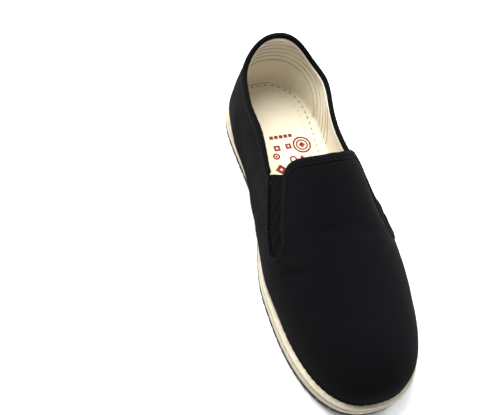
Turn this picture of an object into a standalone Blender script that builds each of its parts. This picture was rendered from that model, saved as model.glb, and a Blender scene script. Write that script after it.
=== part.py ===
"""A black cotton slip-on with a stacked cloth sole: the left shoe of a pair.

The shoe stands on the floor, toe toward -Y, heel toward +Y, the wearer's left
toward +X. The origin is on the floor, under the middle of the shoe's box.

A station is a share of LENGTH, from 0 at the back of the heel to 1 at the tip
of the toe. The last, the form that the upper is pulled over, has a spine along
its middle. A section is a half plane that stands on the spine: sideways along
the middle of the shoe, and fanned round both ends of the spine. In a section
the upper's skin rises from its widest line, at angle 0, to the ridge, at 90
degrees. Side 1 is the wearer's left, and side -1 the right.
"""
import math
from collections import namedtuple

import bmesh
import bpy
import numpy as np
from mathutils import Matrix, Vector

MM = 0.001
SIDES = (1, -1)

# Outline of the sole
LENGTH = 268 * MM
BALL_HALF_WIDTH = 48.5 * MM
WAIST_HALF_WIDTH_LEFT = 29.5 * MM
WAIST_HALF_WIDTH_RIGHT = 31.7 * MM
HEEL_HALF_WIDTH = 33.6 * MM
TOE_LEAN = 2.0 * MM
BALL_STATION_LEFT = 0.69
BALL_STATION_RIGHT = 0.645
WAIST_STATION = 0.345
HEEL_STATION = 0.155
LEAN_STATION = 0.45
TOE_SQUARENESS_LEFT = 2.4
TOE_SQUARENESS_RIGHT = 2.55
HEEL_SQUARENESS = 2.2

# Side profile of the sole
TOE_SPRING = 4.8 * MM
SPRING_STATION = 0.74
ARCH_RISE = 1.5 * MM
ARCH_STATIONS = (0.28, 0.54)

# Stack of the sole, from the floor up, with a clearance between its layers
CLEARANCE = 0.3 * MM
OUTSOLE_THICKNESS = 3.7 * MM
LOWER_LAYER_THICKNESS = 2.6 * MM
MIDDLE_LAYER_THICKNESS = 2.6 * MM
TOP_LAYER_THICKNESS = 3.8 * MM
INSOLE_THICKNESS = 2.0 * MM
OUTSOLE_INSET = 0.9 * MM
LOWER_LAYER_INSET = 0.3 * MM
EDGE_ROUNDING = 0.8 * MM

# Grooves across the outsole
GROOVE_PITCH = 8.0 * MM
GROOVE_WIDTH = 2.0 * MM
GROOVE_DEPTH = 1.4 * MM
GROOVE_AREAS = ((0.03, 0.27), (0.47, 0.97))

# Upper
WALL = 2.2 * MM
FEATHER_INSET = 3.1 * MM
WIDEST_RISE = 5.6 * MM
WAIST_BULGE = 7.2 * MM
INSTEP_HEIGHT = 70.0 * MM
HEEL_HEIGHT = 62.0 * MM
SPINE_STATIONS = (0.125, 0.84)
TUCK_ANGLE = math.radians(30)

# Ridge of the last: station, height over the feather line as a share of INSTEP_HEIGHT
RIDGE = ((0.00, 1.49), (0.25, 0.97), (0.45, 1.00), (0.62, 0.78), (0.80, 0.59), (1.00, 0.44))
# Widest line: station, how far it stands out past the feather line as a share of WAIST_BULGE
BULGE = ((0.00, 0.40), (0.12, 0.40), (0.40, 1.00), (0.66, 0.28), (0.85, -0.03), (1.00, -0.03))
# Fullness of a section: station, exponent across, exponent up (2 is an ellipse)
FULLNESS = ((0.0, 2.26, 1.97), (0.3, 2.26, 1.97), (0.5, 2.20, 1.97), (0.8, 2.03, 2.19), (1.0, 2.03, 2.19))
# Collar line: station, height over the feather line as a share of HEEL_HEIGHT
NOTCH_STATION = 0.385
RAISE_STATION = 0.27
COLLAR = ((0.0, 1.00), (0.06, 0.75), (0.15, 0.66), (0.27, 0.66), (NOTCH_STATION, 0.57))

# Throat of the vamp: share of the way from the tab's side to the ridge, setback toward the heel
# as a share of EAR_SETBACK
THROAT_STATION = 0.429
EAR_SETBACK = 4.8 * MM
THROAT = ((0.0, 0.22), (0.12, 1.0), (0.26, 1.0), (0.46, 0.60), (0.65, 0.22), (0.83, 0.0), (1.0, 0.0))
JOIN_STATION = 0.45
TAB_MARGIN = math.radians(1.5)

# Gores: station, angle of the strip's middle, half width as a share of GORE_HALF_WIDTH
GORE_HALF_WIDTH = 9.0 * MM
GORE_LINE = ((0.37, 38.6, 0.85), (0.39, 37.2, 0.88), (0.43, 33.8, 1.0), (0.47, 31.5, 1.0),
             (0.51, 29.2, 0.95), (0.55, 27.3, 0.85), (0.60, 25.9, 0.74))
GORE_END_STATION = 0.60
GORE_RAISE_LEFT = 4.0 * MM
GORE_END_FLAT = 0.3 * MM
GORE_RECESS = 0.4 * MM
GORE_THICKNESS = 1.4 * MM

# Binding round the quarters' top edge
BINDING_HEIGHT = 4.6 * MM
BINDING_WIDTH = 3.6 * MM

# Mesh density
OUTLINE_STEPS = 900
HEEL_FAN = 7
QUARTER_COLUMNS = 8
TAB_COLUMNS = 3
VAMP_COLUMNS = 12
TOE_FAN = 9
TUCK_ROWS = 3
WALL_ROWS = 5
TAB_SIDE_ROWS = 3
TAB_ROWS = 8
BINDING_SIDES = 10
GORE_STEPS = 14
GORE_STRIPS = 4

Section = namedtuple("Section", "side spine bearing rim feather")


def smooth(table, column, x):
    """Value of a table's column at x, on a smooth curve through its rows."""
    keys = np.array([row[0] for row in table])
    values = np.array([row[column] for row in table])
    slopes = np.gradient(values, keys)
    i = np.clip(np.searchsorted(keys, x) - 1, 0, len(keys) - 2)
    span = keys[i + 1] - keys[i]
    t = np.clip((x - keys[i]) / span, 0, 1)
    start = (2 * t**3 - 3 * t**2 + 1) * values[i] + (t**3 - 2 * t**2 + t) * span * slopes[i]
    end = (3 * t**2 - 2 * t**3) * values[i + 1] + (t**3 - t**2) * span * slopes[i + 1]
    return start + end


def value(table, column, x):
    """The same for one x, as a plain number."""
    return float(smooth(table, column, x))


def ease(x):
    """Smooth step from 0 to 1."""
    t = np.clip(x, 0, 1)
    return t * t * (3 - 2 * t)


def sole_half_width(station, side):
    """Half width of the sole: round heel, eased waist, round toe."""
    ball = BALL_STATION_LEFT if side > 0 else BALL_STATION_RIGHT
    waist = WAIST_HALF_WIDTH_LEFT if side > 0 else WAIST_HALF_WIDTH_RIGHT
    power = TOE_SQUARENESS_LEFT if side > 0 else TOE_SQUARENESS_RIGHT
    toe_share = np.clip((station - ball) / (1 - ball), 0, 1)
    toe = BALL_HALF_WIDTH * (1 - toe_share**power) ** (1 / power)
    heel_share = np.clip(1 - station / HEEL_STATION, 0, 1)
    heel = HEEL_HALF_WIDTH * (1 - heel_share**HEEL_SQUARENESS) ** (1 / HEEL_SQUARENESS)
    to_waist = ease((station - HEEL_STATION) / (WAIST_STATION - HEEL_STATION))
    to_ball = ease((station - WAIST_STATION) / (ball - WAIST_STATION))
    back = HEEL_HALF_WIDTH + (waist - HEEL_HALF_WIDTH) * to_waist
    front = waist + (BALL_HALF_WIDTH - waist) * to_ball
    middle = np.where(station < WAIST_STATION, back, front)
    return np.where(station < HEEL_STATION, heel, np.where(station > ball, toe, middle))


def lean(station):
    """Sideways shift of the shoe's middle line, which swings to the big toe's side."""
    share = np.clip((station - LEAN_STATION) / (1 - LEAN_STATION), 0, 1)
    return -TOE_LEAN * share**2


def lift(along):
    """Height of the sole's underside over the floor: arch and toe spring."""
    station = along / LENGTH
    start, end = ARCH_STATIONS
    arch = ARCH_RISE * math.sin(math.pi * min(max((station - start) / (end - start), 0), 1)) ** 2
    spring = max((station - SPRING_STATION) / (1 - SPRING_STATION), 0)
    return arch + TOE_SPRING * spring**2


def outline(inset):
    """Closed plan curve of the sole, moved inwards by inset(station): across and along."""
    share = (1 - np.cos(np.linspace(0, np.pi, OUTLINE_STEPS))) / 2
    halves = []
    for side in SIDES:
        across = lean(share) + side * sole_half_width(share, side)
        along = LENGTH * share
        run = np.gradient(along)
        swing = np.gradient(across)
        size = np.hypot(run, swing)
        step = inset(share)
        halves.append((across - side * run / size * step, along + side * swing / size * step))
    left, right = halves
    across = np.concatenate([left[0], right[0][::-1]])
    along = np.concatenate([left[1], right[1][::-1]])
    return across, along


def widest_inset(station):
    """Inset of the upper's widest line from the edge of the sole."""
    return FEATHER_INSET - WAIST_BULGE * smooth(BULGE, 1, station)


def even(inset):
    """The same inset at every station."""
    return lambda station: inset + 0 * station


def reach(curve, spine, bearing):
    """Plan point where the section at a spine point and bearing crosses a closed curve."""
    across, along = curve
    seen = np.unwrap(np.arctan2(across - spine.x, along - spine.y))
    seen -= 2 * np.pi * np.round(seen[len(seen) // 2] / (2 * np.pi))
    distance = float(np.interp(bearing, seen[::-1], np.hypot(across - spine.x, along - spine.y)[::-1]))
    return spine + Vector((math.sin(bearing), math.cos(bearing))) * distance


def make_section(side, station, bearing):
    """Section of the last, with its points on the widest line and the feather line."""
    spine = Vector((float(lean(station)), LENGTH * station))
    turned = side * bearing
    rim = reach(WIDEST_CURVE, spine, turned)
    feather = reach(FEATHER_CURVE, spine, turned)
    return Section(side, spine, turned, rim, feather)


def side_section(side, station):
    """Section square to the shoe's middle line."""
    return make_section(side, station, math.pi / 2)


def make_columns(side):
    """Sections from the back of the heel to the tip of the toe."""
    heel, toe = SPINE_STATIONS
    columns = []
    for k in range(HEEL_FAN):
        columns.append(make_section(side, heel, math.pi * (1 - k / HEEL_FAN / 2)))
    stretches = ((heel, NOTCH_STATION, QUARTER_COLUMNS), (NOTCH_STATION, JOIN_STATION, TAB_COLUMNS),
                 (JOIN_STATION, toe, VAMP_COLUMNS))
    for start, end, count in stretches:
        for k in range(count):
            columns.append(side_section(side, start + (end - start) * k / count))
    for k in range(TOE_FAN + 1):
        columns.append(make_section(side, toe, math.pi / 2 * (1 - k / TOE_FAN)))
    return columns


def place(plan, height):
    """World point over a plan point, at a height over the bent sole's underside."""
    return Vector((plan.x - MIDDLE, LENGTH / 2 - plan.y, height + lift(plan.y)))


def skin(section, angle):
    """Point of the upper's outer face in a section."""
    across = value(FULLNESS, 1, section.rim.y / LENGTH)
    up = value(FULLNESS, 2, section.rim.y / LENGTH)
    plan = section.spine + (section.rim - section.spine) * max(math.cos(angle), 0) ** (2 / across)
    ridge = INSTEP_HEIGHT * value(RIDGE, 1, plan.y / LENGTH)
    rise = WIDEST_RISE + (ridge - WIDEST_RISE) * math.sin(angle) ** (2 / up)
    return place(plan, FEATHER_HEIGHT + rise)


def tuck(section, share):
    """Point of the outer face between the feather line, at 0, and the widest line, at 1."""
    angle = TUCK_ANGLE + (math.pi / 2 - TUCK_ANGLE) * share
    out = (math.sin(angle) - math.sin(TUCK_ANGLE)) / (1 - math.sin(TUCK_ANGLE))
    rise = WIDEST_RISE * (math.cos(TUCK_ANGLE) - math.cos(angle)) / math.cos(TUCK_ANGLE)
    return place(section.feather.lerp(section.rim, out), FEATHER_HEIGHT + rise)


def climb(section, angle):
    """How the skin moves as its angle grows, per radian."""
    step = math.radians(0.5)
    return (skin(section, angle + step) - skin(section, angle - step)) / (2 * step)


def gore_raise(side):
    """How much higher up the girth a side's gore lies, and the collar's notch with it."""
    return GORE_RAISE_LEFT if side > 0 else 0.0


def collar_angle(section):
    """Angle of the collar line, the top of the binding, in a section."""
    station = section.rim.y / LENGTH
    up = value(FULLNESS, 2, station)
    height = HEEL_HEIGHT * value(COLLAR, 1, station)
    ridge = INSTEP_HEIGHT * value(RIDGE, 1, station)
    share = min(max((height - WIDEST_RISE) / (ridge - WIDEST_RISE), 0), 0.95)
    angle = math.asin(share ** (up / 2))
    to_notch = float(ease((station - RAISE_STATION) / (NOTCH_STATION - RAISE_STATION)))
    return angle + gore_raise(section.side) * to_notch / climb(section, angle).length


def wall_angle(section):
    """Angle of the quarters' top edge, which lies under the binding."""
    top = collar_angle(section)
    return top - (BINDING_HEIGHT + CLEARANCE) / climb(section, top - math.radians(2)).length


def gore_edge(side, station, across, clearance=0.0):
    """Angle of a point of the gore, from -1 at its lower edge to 1 at its upper edge."""
    middle = math.radians(value(GORE_LINE, 1, station))
    half = GORE_HALF_WIDTH * value(GORE_LINE, 2, station)
    to_end = (GORE_END_STATION - station) * LENGTH
    if to_end < half:
        half *= math.sqrt(max(1 - (1 - to_end / half) ** 2, 0))
    rise = gore_raise(side) + across * max(half - clearance, 0)
    return middle + rise / climb(side_section(side, station), middle).length


def tab_station():
    """Station where the tab's side meets the gore's top edge."""
    return THROAT_STATION - EAR_SETBACK * value(THROAT, 1, 0.0) / LENGTH


def throat_station(angle, notch_angles):
    """Station of the vamp's back edge at an angle: notch, gore top, tab ear and throat."""
    notch, tab = notch_angles
    if angle <= notch:
        return NOTCH_STATION
    if angle <= tab:
        return NOTCH_STATION + (tab_station() - NOTCH_STATION) * (angle - notch) / (tab - notch)
    share = (angle - tab) / (math.pi / 2 - tab)
    return THROAT_STATION - EAR_SETBACK * value(THROAT, 1, share) / LENGTH


def row_angles(side):
    """Angles of the vamp's rows, and the two that mark the notch and the tab's side."""
    notch_section = side_section(side, NOTCH_STATION)
    wall = wall_angle(notch_section)
    notch = collar_angle(notch_section)
    tab = gore_edge(side, THROAT_STATION, 1) + TAB_MARGIN
    angles = [wall * k / WALL_ROWS for k in range(WALL_ROWS + 1)]
    angles += [notch + (tab - notch) * k / TAB_SIDE_ROWS for k in range(TAB_SIDE_ROWS)]
    angles += [tab + (math.pi / 2 - tab) * (k / TAB_ROWS) ** 1.25 for k in range(TAB_ROWS + 1)]
    return angles, (notch, tab)


def new_object(name, bm, material, collection):
    """Object from a bmesh, closed over itself and facing out."""
    if bm.calc_volume(signed=True) < 0:
        bmesh.ops.reverse_faces(bm, faces=bm.faces)
    mesh = bpy.data.meshes.new(name)
    bm.to_mesh(mesh)
    bm.free()
    thing = bpy.data.objects.new(name, mesh)
    collection.objects.link(thing)
    if material:
        mesh.materials.append(material)
    return thing


def round_off(thing, degrees=40):
    """Smooth shading, with the edges over an angle kept sharp."""
    thing.data.shade_smooth()
    thing.data.set_sharp_from_angle(angle=math.radians(degrees))


def cloth(name, colour, roughness):
    """Plain material of one colour."""
    material = bpy.data.materials.new(name)
    material.use_nodes = True
    shader = material.node_tree.nodes["Principled BSDF"]
    shader.inputs["Base Color"].default_value = (*colour, 1)
    shader.inputs["Roughness"].default_value = roughness
    shader.inputs["Metallic"].default_value = 0.0
    return material


def loft(bm, rings):
    """Quads between closed rings of points, from the first ring to the last."""
    rows = [[bm.verts.new(point) for point in ring] for ring in rings]
    count = len(rows[0])
    for low, high in zip(rows, rows[1:]):
        for k in range(count):
            n = (k + 1) % count
            bm.faces.new((low[k], low[n], high[n], high[k]))
    return rows


def ladder(bm, ring, flip):
    """Closes a ring of a sole layer with rungs from side to side."""
    half = len(ring) // 2
    for k in range(half):
        corners = [ring[k], ring[k + 1], ring[(-k - 1) % len(ring)], ring[-k % len(ring)]]
        unique = list(dict.fromkeys(corners))
        bm.faces.new(unique[::-1] if flip else unique)


def sole_ring(inset, height):
    """Ring of points round the sole at an inset and a height, from the heel round side 1."""
    curve = outline(even(inset))
    halves = []
    for side in SIDES:
        halves.append([place(reach(curve, s.spine, s.bearing), height) for s in COLUMNS[side]])
    left, right = halves
    return left + right[-2:0:-1]


def sole_layer(name, bottom, thickness, inset, rounding, material, collection):
    """One layer of the sole: the outline at an inset, with its edge rounded off."""
    drop = min(rounding, thickness / 3)
    steps = ((rounding, 0), (0, drop), (0, thickness - drop), (rounding, thickness))
    bm = bmesh.new()
    rings = loft(bm, [sole_ring(inset + back, bottom + up) for back, up in steps])
    ladder(bm, rings[0], True)
    ladder(bm, rings[-1], False)
    thing = new_object(name, bm, material, collection)
    round_off(thing, 50)
    return thing


def groove_cutter(collection):
    """Bars across the outsole's underside, square to its bend."""
    bm = bmesh.new()
    for start, end in GROOVE_AREAS:
        count = int((end - start) * LENGTH / GROOVE_PITCH)
        for k in range(count + 1):
            along = (start + end) / 2 * LENGTH + (k - count / 2) * GROOVE_PITCH
            slope = (lift(along + MM) - lift(along - MM)) / (2 * MM)
            spot = Matrix.Translation((0, LENGTH / 2 - along, lift(along)))
            turn = Matrix.Rotation(-math.atan(slope), 4, "X")
            size = Matrix.Diagonal((3 * BALL_HALF_WIDTH, GROOVE_WIDTH, 2 * GROOVE_DEPTH, 1))
            bmesh.ops.create_cube(bm, size=1, matrix=spot @ turn @ size)
    return hide(new_object("groove_cutter", bm, None, collection))


def hide(cutter):
    """Marks an object as a cutter."""
    cutter.hide_render = True
    cutter.display_type = "WIRE"
    return cutter


def cut(thing, cutter):
    """Takes a cutter's body out of an object."""
    modifier = thing.modifiers.new(cutter.name, "BOOLEAN")
    modifier.operation = "DIFFERENCE"
    modifier.solver = "EXACT"
    modifier.object = cutter


def add_face(bm, corners, side):
    """Face of one to four distinct corners, facing out on either side of the shoe."""
    unique = list(dict.fromkeys(corners))
    if len(unique) > 2:
        bm.faces.new(unique if side > 0 else unique[::-1])


def make_upper(material, collection):
    """Open skin over the last, thickened inwards: quarters, vamp and throat tab."""
    bm = bmesh.new()
    found = {}
    last = len(COLUMNS[1]) - 1
    notch = HEEL_FAN + QUARTER_COLUMNS
    join = notch + TAB_COLUMNS
    fan = last - TOE_FAN

    def corner(side, column, row, angles, marks):
        """Vertex of a grid corner, shared where the two sides meet."""
        top = TUCK_ROWS + len(angles) - 1
        ridge = row == top
        key = (0 if column in (0, last) or ridge else side, min(column, fan) if ridge else column, row)
        if key in found:
            return found[key]
        section = COLUMNS[side][column]
        if row < TUCK_ROWS:
            point = tuck(section, row / TUCK_ROWS)
        elif column <= notch:
            point = skin(section, wall_angle(section) * (row - TUCK_ROWS) / WALL_ROWS)
            if column == notch and row - TUCK_ROWS > WALL_ROWS:
                angle = angles[row - TUCK_ROWS]
                point = skin(side_section(side, throat_station(angle, marks)), angle)
        elif column < join:
            angle = angles[row - TUCK_ROWS]
            start = throat_station(angle, marks)
            station = start + (JOIN_STATION - start) * (column - notch) / TAB_COLUMNS
            point = skin(side_section(side, station), angle)
        else:
            point = skin(section, angles[row - TUCK_ROWS])
        found[key] = bm.verts.new(point)
        return found[key]

    for side in SIDES:
        angles, marks = row_angles(side)
        for column in range(last):
            rows = TUCK_ROWS + (WALL_ROWS if column < notch else len(angles) - 1)
            for row in range(rows):
                spots = ((column, row), (column, row + 1), (column + 1, row + 1), (column + 1, row))
                corners = [corner(side, c, r, angles, marks) for c, r in spots]
                add_face(bm, corners, side)
    mesh = bpy.data.meshes.new("upper")
    bm.to_mesh(mesh)
    bm.free()
    mesh.materials.append(material)
    thing = bpy.data.objects.new("upper", mesh)
    collection.objects.link(thing)
    shell = thing.modifiers.new("wall", "SOLIDIFY")
    shell.thickness = WALL
    shell.offset = -1
    shell.use_even_offset = True
    shell.use_quality_normals = True
    round_off(thing)
    return thing


def outward(side, station, angle):
    """Unit normal of the upper's skin."""
    step = MM / LENGTH
    ahead = skin(side_section(side, station + step), angle) - skin(side_section(side, station - step), angle)
    normal = climb(side_section(side, station), angle).cross(ahead)
    return side * normal.normalized()


def gore_body(name, side, start_back, clearance, depths, material, collection):
    """Slab along a gore's strip, between two depths under the upper's skin."""
    layers = []
    for depth in depths:
        grid = []
        for k in range(GORE_STEPS + 1):
            share = math.sin(math.pi / 2 * k / GORE_STEPS)
            line = []
            for j in range(GORE_STRIPS + 1):
                across = 2 * j / GORE_STRIPS - 1
                top = NOTCH_STATION + (tab_station() - NOTCH_STATION) * (across + 1) / 2
                start = top - start_back / LENGTH
                end = GORE_END_STATION - (clearance + GORE_END_FLAT) / LENGTH
                station = start + (end - start) * share
                angle = gore_edge(side, station, across, clearance)
                point = skin(side_section(side, station), angle)
                line.append(point - depth * outward(side, station, angle))
            grid.append(line)
        layers.append(grid)
    bm = bmesh.new()
    outer, inner = [[[bm.verts.new(point) for point in line] for line in grid] for grid in layers]
    for k in range(GORE_STEPS):
        for j in range(GORE_STRIPS):
            bm.faces.new((outer[k][j], outer[k][j + 1], outer[k + 1][j + 1], outer[k + 1][j]))
            bm.faces.new((inner[k][j], inner[k + 1][j], inner[k + 1][j + 1], inner[k][j + 1]))
        for j in (0, GORE_STRIPS):
            edge = (outer[k][j], outer[k + 1][j], inner[k + 1][j], inner[k][j])
            bm.faces.new(edge if j == 0 else edge[::-1])
    for k in (0, GORE_STEPS):
        for j in range(GORE_STRIPS):
            edge = (outer[k][j + 1], outer[k][j], inner[k][j], inner[k][j + 1])
            bm.faces.new(edge if k == 0 else edge[::-1])
    thing = new_object(name, bm, material, collection)
    round_off(thing)
    return thing


def make_binding(material, collection):
    """Oval bead on the quarters' top edge, from gore to gore round the heel."""
    count = HEEL_FAN + QUARTER_COLUMNS
    path = [side_section(-1, NOTCH_STATION - CLEARANCE / LENGTH)]
    path += [COLUMNS[-1][k] for k in range(count - 1, 0, -1)]
    path += [COLUMNS[1][k] for k in range(count)]
    path += [side_section(1, NOTCH_STATION - CLEARANCE / LENGTH)]
    rings = []
    for section in path:
        top = collar_angle(section)
        angle = top - BINDING_HEIGHT / 2 / climb(section, top).length
        up = climb(section, angle).normalized()
        flat = Vector((math.sin(section.bearing), -math.cos(section.bearing), 0))
        out = flat * up.z - Vector((0, 0, 1)) * up.dot(flat)
        middle = skin(section, angle) - out * WALL / 2
        ring = []
        for k in range(BINDING_SIDES):
            turn = 2 * math.pi * k / BINDING_SIDES
            offset = out * BINDING_WIDTH / 2 * math.cos(turn) + up * BINDING_HEIGHT / 2 * math.sin(turn)
            ring.append(middle + offset)
        rings.append(ring)
    bm = bmesh.new()
    rows = loft(bm, rings)
    bm.faces.new(rows[0][::-1])
    bm.faces.new(rows[-1])
    thing = new_object("collar_binding", bm, material, collection)
    round_off(thing, 60)
    return thing


def build():
    """Builds every piece of the shoe."""
    for thing in list(bpy.data.objects):
        bpy.data.objects.remove(thing)
    parts = bpy.data.collections.new("cloth_shoe")
    cutters = bpy.data.collections.new("cutters")
    for collection in (parts, cutters):
        bpy.context.scene.collection.children.link(collection)
    rubber = cloth("black_rubber", (0.02, 0.02, 0.021), 0.6)
    cream = cloth("cream_cloth", (0.70, 0.64, 0.52), 0.9)
    sock = cloth("cream_sock", (0.78, 0.74, 0.62), 0.85)
    cotton = cloth("black_cotton", (0.012, 0.012, 0.015), 0.85)
    elastic = cloth("black_elastic", (0.010, 0.010, 0.011), 0.8)
    tape = cloth("black_binding", (0.010, 0.010, 0.012), 0.7)

    outsole = sole_layer("outsole", 0, OUTSOLE_THICKNESS, OUTSOLE_INSET, EDGE_ROUNDING / 2, rubber, parts)
    cut(outsole, groove_cutter(cutters))
    bottom = OUTSOLE_THICKNESS + CLEARANCE
    stack = (("sole_layer_lower", LOWER_LAYER_THICKNESS, LOWER_LAYER_INSET, EDGE_ROUNDING),
             ("sole_layer_middle", MIDDLE_LAYER_THICKNESS, 0, EDGE_ROUNDING),
             ("sole_layer_top", TOP_LAYER_THICKNESS, 0, 2 * EDGE_ROUNDING))
    for name, thickness, inset, rounding in stack:
        sole_layer(name, bottom, thickness, inset, rounding, cream, parts)
        bottom += thickness + CLEARANCE
    inset = FEATHER_INSET + WALL + CLEARANCE
    sole_layer("insole", bottom, INSOLE_THICKNESS, inset, EDGE_ROUNDING / 2, sock, parts)

    upper = make_upper(cotton, parts)
    for side, name in zip(SIDES, ("left", "right")):
        slot = gore_body("slot_" + name, side, 3 * WALL, 0.0, (-3 * WALL, 3 * WALL), None, cutters)
        cut(upper, hide(slot))
        depths = (GORE_RECESS, GORE_RECESS + GORE_THICKNESS)
        gore_body("gore_" + name, side, -CLEARANCE, CLEARANCE, depths, elastic, parts)
    make_binding(tape, parts)


EDGE_CURVE = outline(even(0.0))
MIDDLE = float(EDGE_CURVE[0].max() + EDGE_CURVE[0].min()) / 2
FEATHER_CURVE = outline(even(FEATHER_INSET))
WIDEST_CURVE = outline(widest_inset)
FEATHER_HEIGHT = (OUTSOLE_THICKNESS + LOWER_LAYER_THICKNESS + MIDDLE_LAYER_THICKNESS
                  + TOP_LAYER_THICKNESS + 4 * CLEARANCE)
COLUMNS = {side: make_columns(side) for side in SIDES}

build()
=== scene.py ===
"""Looks of the black cotton slip-on: cloth, hems, stitches, lining, gores, sole and print.

The shoe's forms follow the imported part. Its sections, widths and heights are worked out
here again from the same sizes, so that every detail lies on the part's own surfaces.
A station is a share of LENGTH from the heel. Cloth coordinates are metres on the upper's
surface: u from the heel to the toe, v round the girth from the ridge, + on side 1.
"""
import math

import bpy
import numpy as np
from mathutils import Matrix, Vector


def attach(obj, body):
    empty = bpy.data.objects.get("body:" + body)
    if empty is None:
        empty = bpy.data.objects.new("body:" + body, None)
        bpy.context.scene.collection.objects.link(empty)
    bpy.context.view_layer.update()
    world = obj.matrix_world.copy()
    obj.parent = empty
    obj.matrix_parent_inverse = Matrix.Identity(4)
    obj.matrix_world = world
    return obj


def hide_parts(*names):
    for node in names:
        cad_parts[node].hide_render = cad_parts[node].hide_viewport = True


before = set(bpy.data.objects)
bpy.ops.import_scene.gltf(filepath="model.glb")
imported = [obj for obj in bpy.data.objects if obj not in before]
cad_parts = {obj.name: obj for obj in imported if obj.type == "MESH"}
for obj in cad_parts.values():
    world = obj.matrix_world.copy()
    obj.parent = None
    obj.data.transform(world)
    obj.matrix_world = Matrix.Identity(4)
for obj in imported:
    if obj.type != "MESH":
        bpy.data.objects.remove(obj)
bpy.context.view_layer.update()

MM = 0.001
SIDES = (1, -1)

# Sizes and tables of the part
LENGTH = 268 * MM
BALL_HALF_WIDTH = 48.5 * MM
WAIST_HALF_WIDTH = {1: 29.5 * MM, -1: 31.7 * MM}
HEEL_HALF_WIDTH = 33.6 * MM
TOE_LEAN = 2.0 * MM
BALL_STATION = {1: 0.69, -1: 0.645}
WAIST_STATION = 0.345
HEEL_STATION = 0.155
LEAN_STATION = 0.45
TOE_SQUARENESS = {1: 2.4, -1: 2.55}
HEEL_SQUARENESS = 2.2
TOE_SPRING = 4.8 * MM
SPRING_STATION = 0.74
ARCH_RISE = 1.5 * MM
ARCH_STATIONS = (0.28, 0.54)
CLEARANCE = 0.3 * MM
OUTSOLE_THICKNESS = 3.7 * MM
LOWER_LAYER_THICKNESS = 2.6 * MM
MIDDLE_LAYER_THICKNESS = 2.6 * MM
TOP_LAYER_THICKNESS = 3.8 * MM
INSOLE_THICKNESS = 2.0 * MM
LOWER_LAYER_INSET = 0.3 * MM
WALL = 2.2 * MM
FEATHER_INSET = 3.1 * MM
WIDEST_RISE = 5.6 * MM
WAIST_BULGE = 7.2 * MM
INSTEP_HEIGHT = 70.0 * MM
HEEL_HEIGHT = 62.0 * MM
SPINE_STATIONS = (0.125, 0.84)
TUCK_ANGLE = math.radians(30)
RIDGE = ((0.00, 1.49), (0.25, 0.97), (0.45, 1.00), (0.62, 0.78), (0.80, 0.59), (1.00, 0.44))
BULGE = ((0.00, 0.40), (0.12, 0.40), (0.40, 1.00), (0.66, 0.28), (0.85, -0.03), (1.00, -0.03))
FULLNESS = ((0.0, 2.26, 1.97), (0.3, 2.26, 1.97), (0.5, 2.20, 1.97), (0.8, 2.03, 2.19),
            (1.0, 2.03, 2.19))
NOTCH_STATION = 0.385
RAISE_STATION = 0.27
COLLAR = ((0.0, 1.00), (0.06, 0.75), (0.15, 0.66), (0.27, 0.66), (NOTCH_STATION, 0.57))
THROAT_STATION = 0.429
EAR_SETBACK = 4.8 * MM
THROAT = ((0.0, 0.22), (0.12, 1.0), (0.26, 1.0), (0.46, 0.60), (0.65, 0.22), (0.83, 0.0), (1.0, 0.0))
JOIN_STATION = 0.45
TAB_MARGIN = math.radians(1.5)
GORE_HALF_WIDTH = 9.0 * MM
GORE_LINE = ((0.37, 38.6, 0.85), (0.39, 37.2, 0.88), (0.43, 33.8, 1.0), (0.47, 31.5, 1.0),
             (0.51, 29.2, 0.95), (0.55, 27.3, 0.85), (0.60, 25.9, 0.74))
GORE_END_STATION = 0.60
GORE_RAISE = {1: 4.0 * MM, -1: 0.0}
BINDING_HEIGHT = 4.6 * MM
BINDING_WIDTH = 3.6 * MM

# Sizes of the details
CLOTH = 1.3 * MM
CLOTH_WAVES = ((0.22 * MM, 38 * MM, 5), (0.07 * MM, 12 * MM, 8))
BACK_SEAM_DEPTH = 0.5 * MM
BACK_SEAM_WIDTH = 0.8 * MM
FOLD_DEPTH = 2.4 * MM
LINING_DEPTHS = (1.45 * MM, WALL)
EDGE_RADIUS = 0.8 * MM
LEAST_CLOTH = 0.35 * MM
LEAST_LINING = 0.25 * MM
LEAST_ELASTIC = 0.3 * MM
FINER = 1.35
END_TRIM = 6
LINING_MARGIN = 2.2 * MM
LINING_WAVES = ((0.20 * MM, 26 * MM, 3), (0.10 * MM, 9 * MM, 4))
THROAT_HEM = 6.3 * MM
GORE_HEM = 4.6 * MM
HEM_RISE = 0.45 * MM
HEM_EDGE = 0.9 * MM
SEAM_DEPTH = 0.55 * MM
SEAM_WIDTH = 0.65 * MM
PUCKER_PITCH = 4.7 * MM
PUCKER_DEPTH = 0.35 * MM
PUCKER_HEIGHT = 5.0 * MM
HELD_HEIGHT = (-0.5 * MM, 5.5 * MM)
STITCH_PITCH = 2.7 * MM
STITCH_LENGTH = 1.9 * MM
STITCH_RADIUS = 0.24 * MM
STITCH_RISE = 0.22 * MM
COLLAR_STITCH_RISE = 0.2 * MM
COLLAR_STITCH_DEPTHS = ((-0.55 * MM, 1), (WALL + 0.5 * MM, -1))
RIB_PITCH = 1.5 * MM
RIB_DEPTH = 0.16 * MM
GORE_REACH = 1.6 * MM
GORE_SAG = 1.75 * MM
GORE_CROWN = 0.75 * MM
GORE_SLACK = 0.30 * MM
GORE_BACK = 2.1 * MM
GORE_EDGE = 0.7 * MM
SLACK_PITCH = (11 * MM, 3 * MM)
FOLD_PITCH = (6.3 * MM, 17 * MM)
BINDING_END = 1.6 * MM
PIPING_RADIUS = 0.5 * MM
PIPING_DROP = BINDING_HEIGHT * 0.92
PIPING_DEPTH = WALL + 0.75 * MM
PIPING_TRIM = 10
PRINT_LIFT = 0.12 * MM
PRINT_DEPTH = 0.08 * MM
INSOLE_SEAM = 2.1 * MM
INSOLE_WAVES = ((0.12 * MM, 30 * MM, 12), (0.05 * MM, 11 * MM, 13))
INSOLE_STITCH_PITCH = 5.0 * MM
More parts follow.
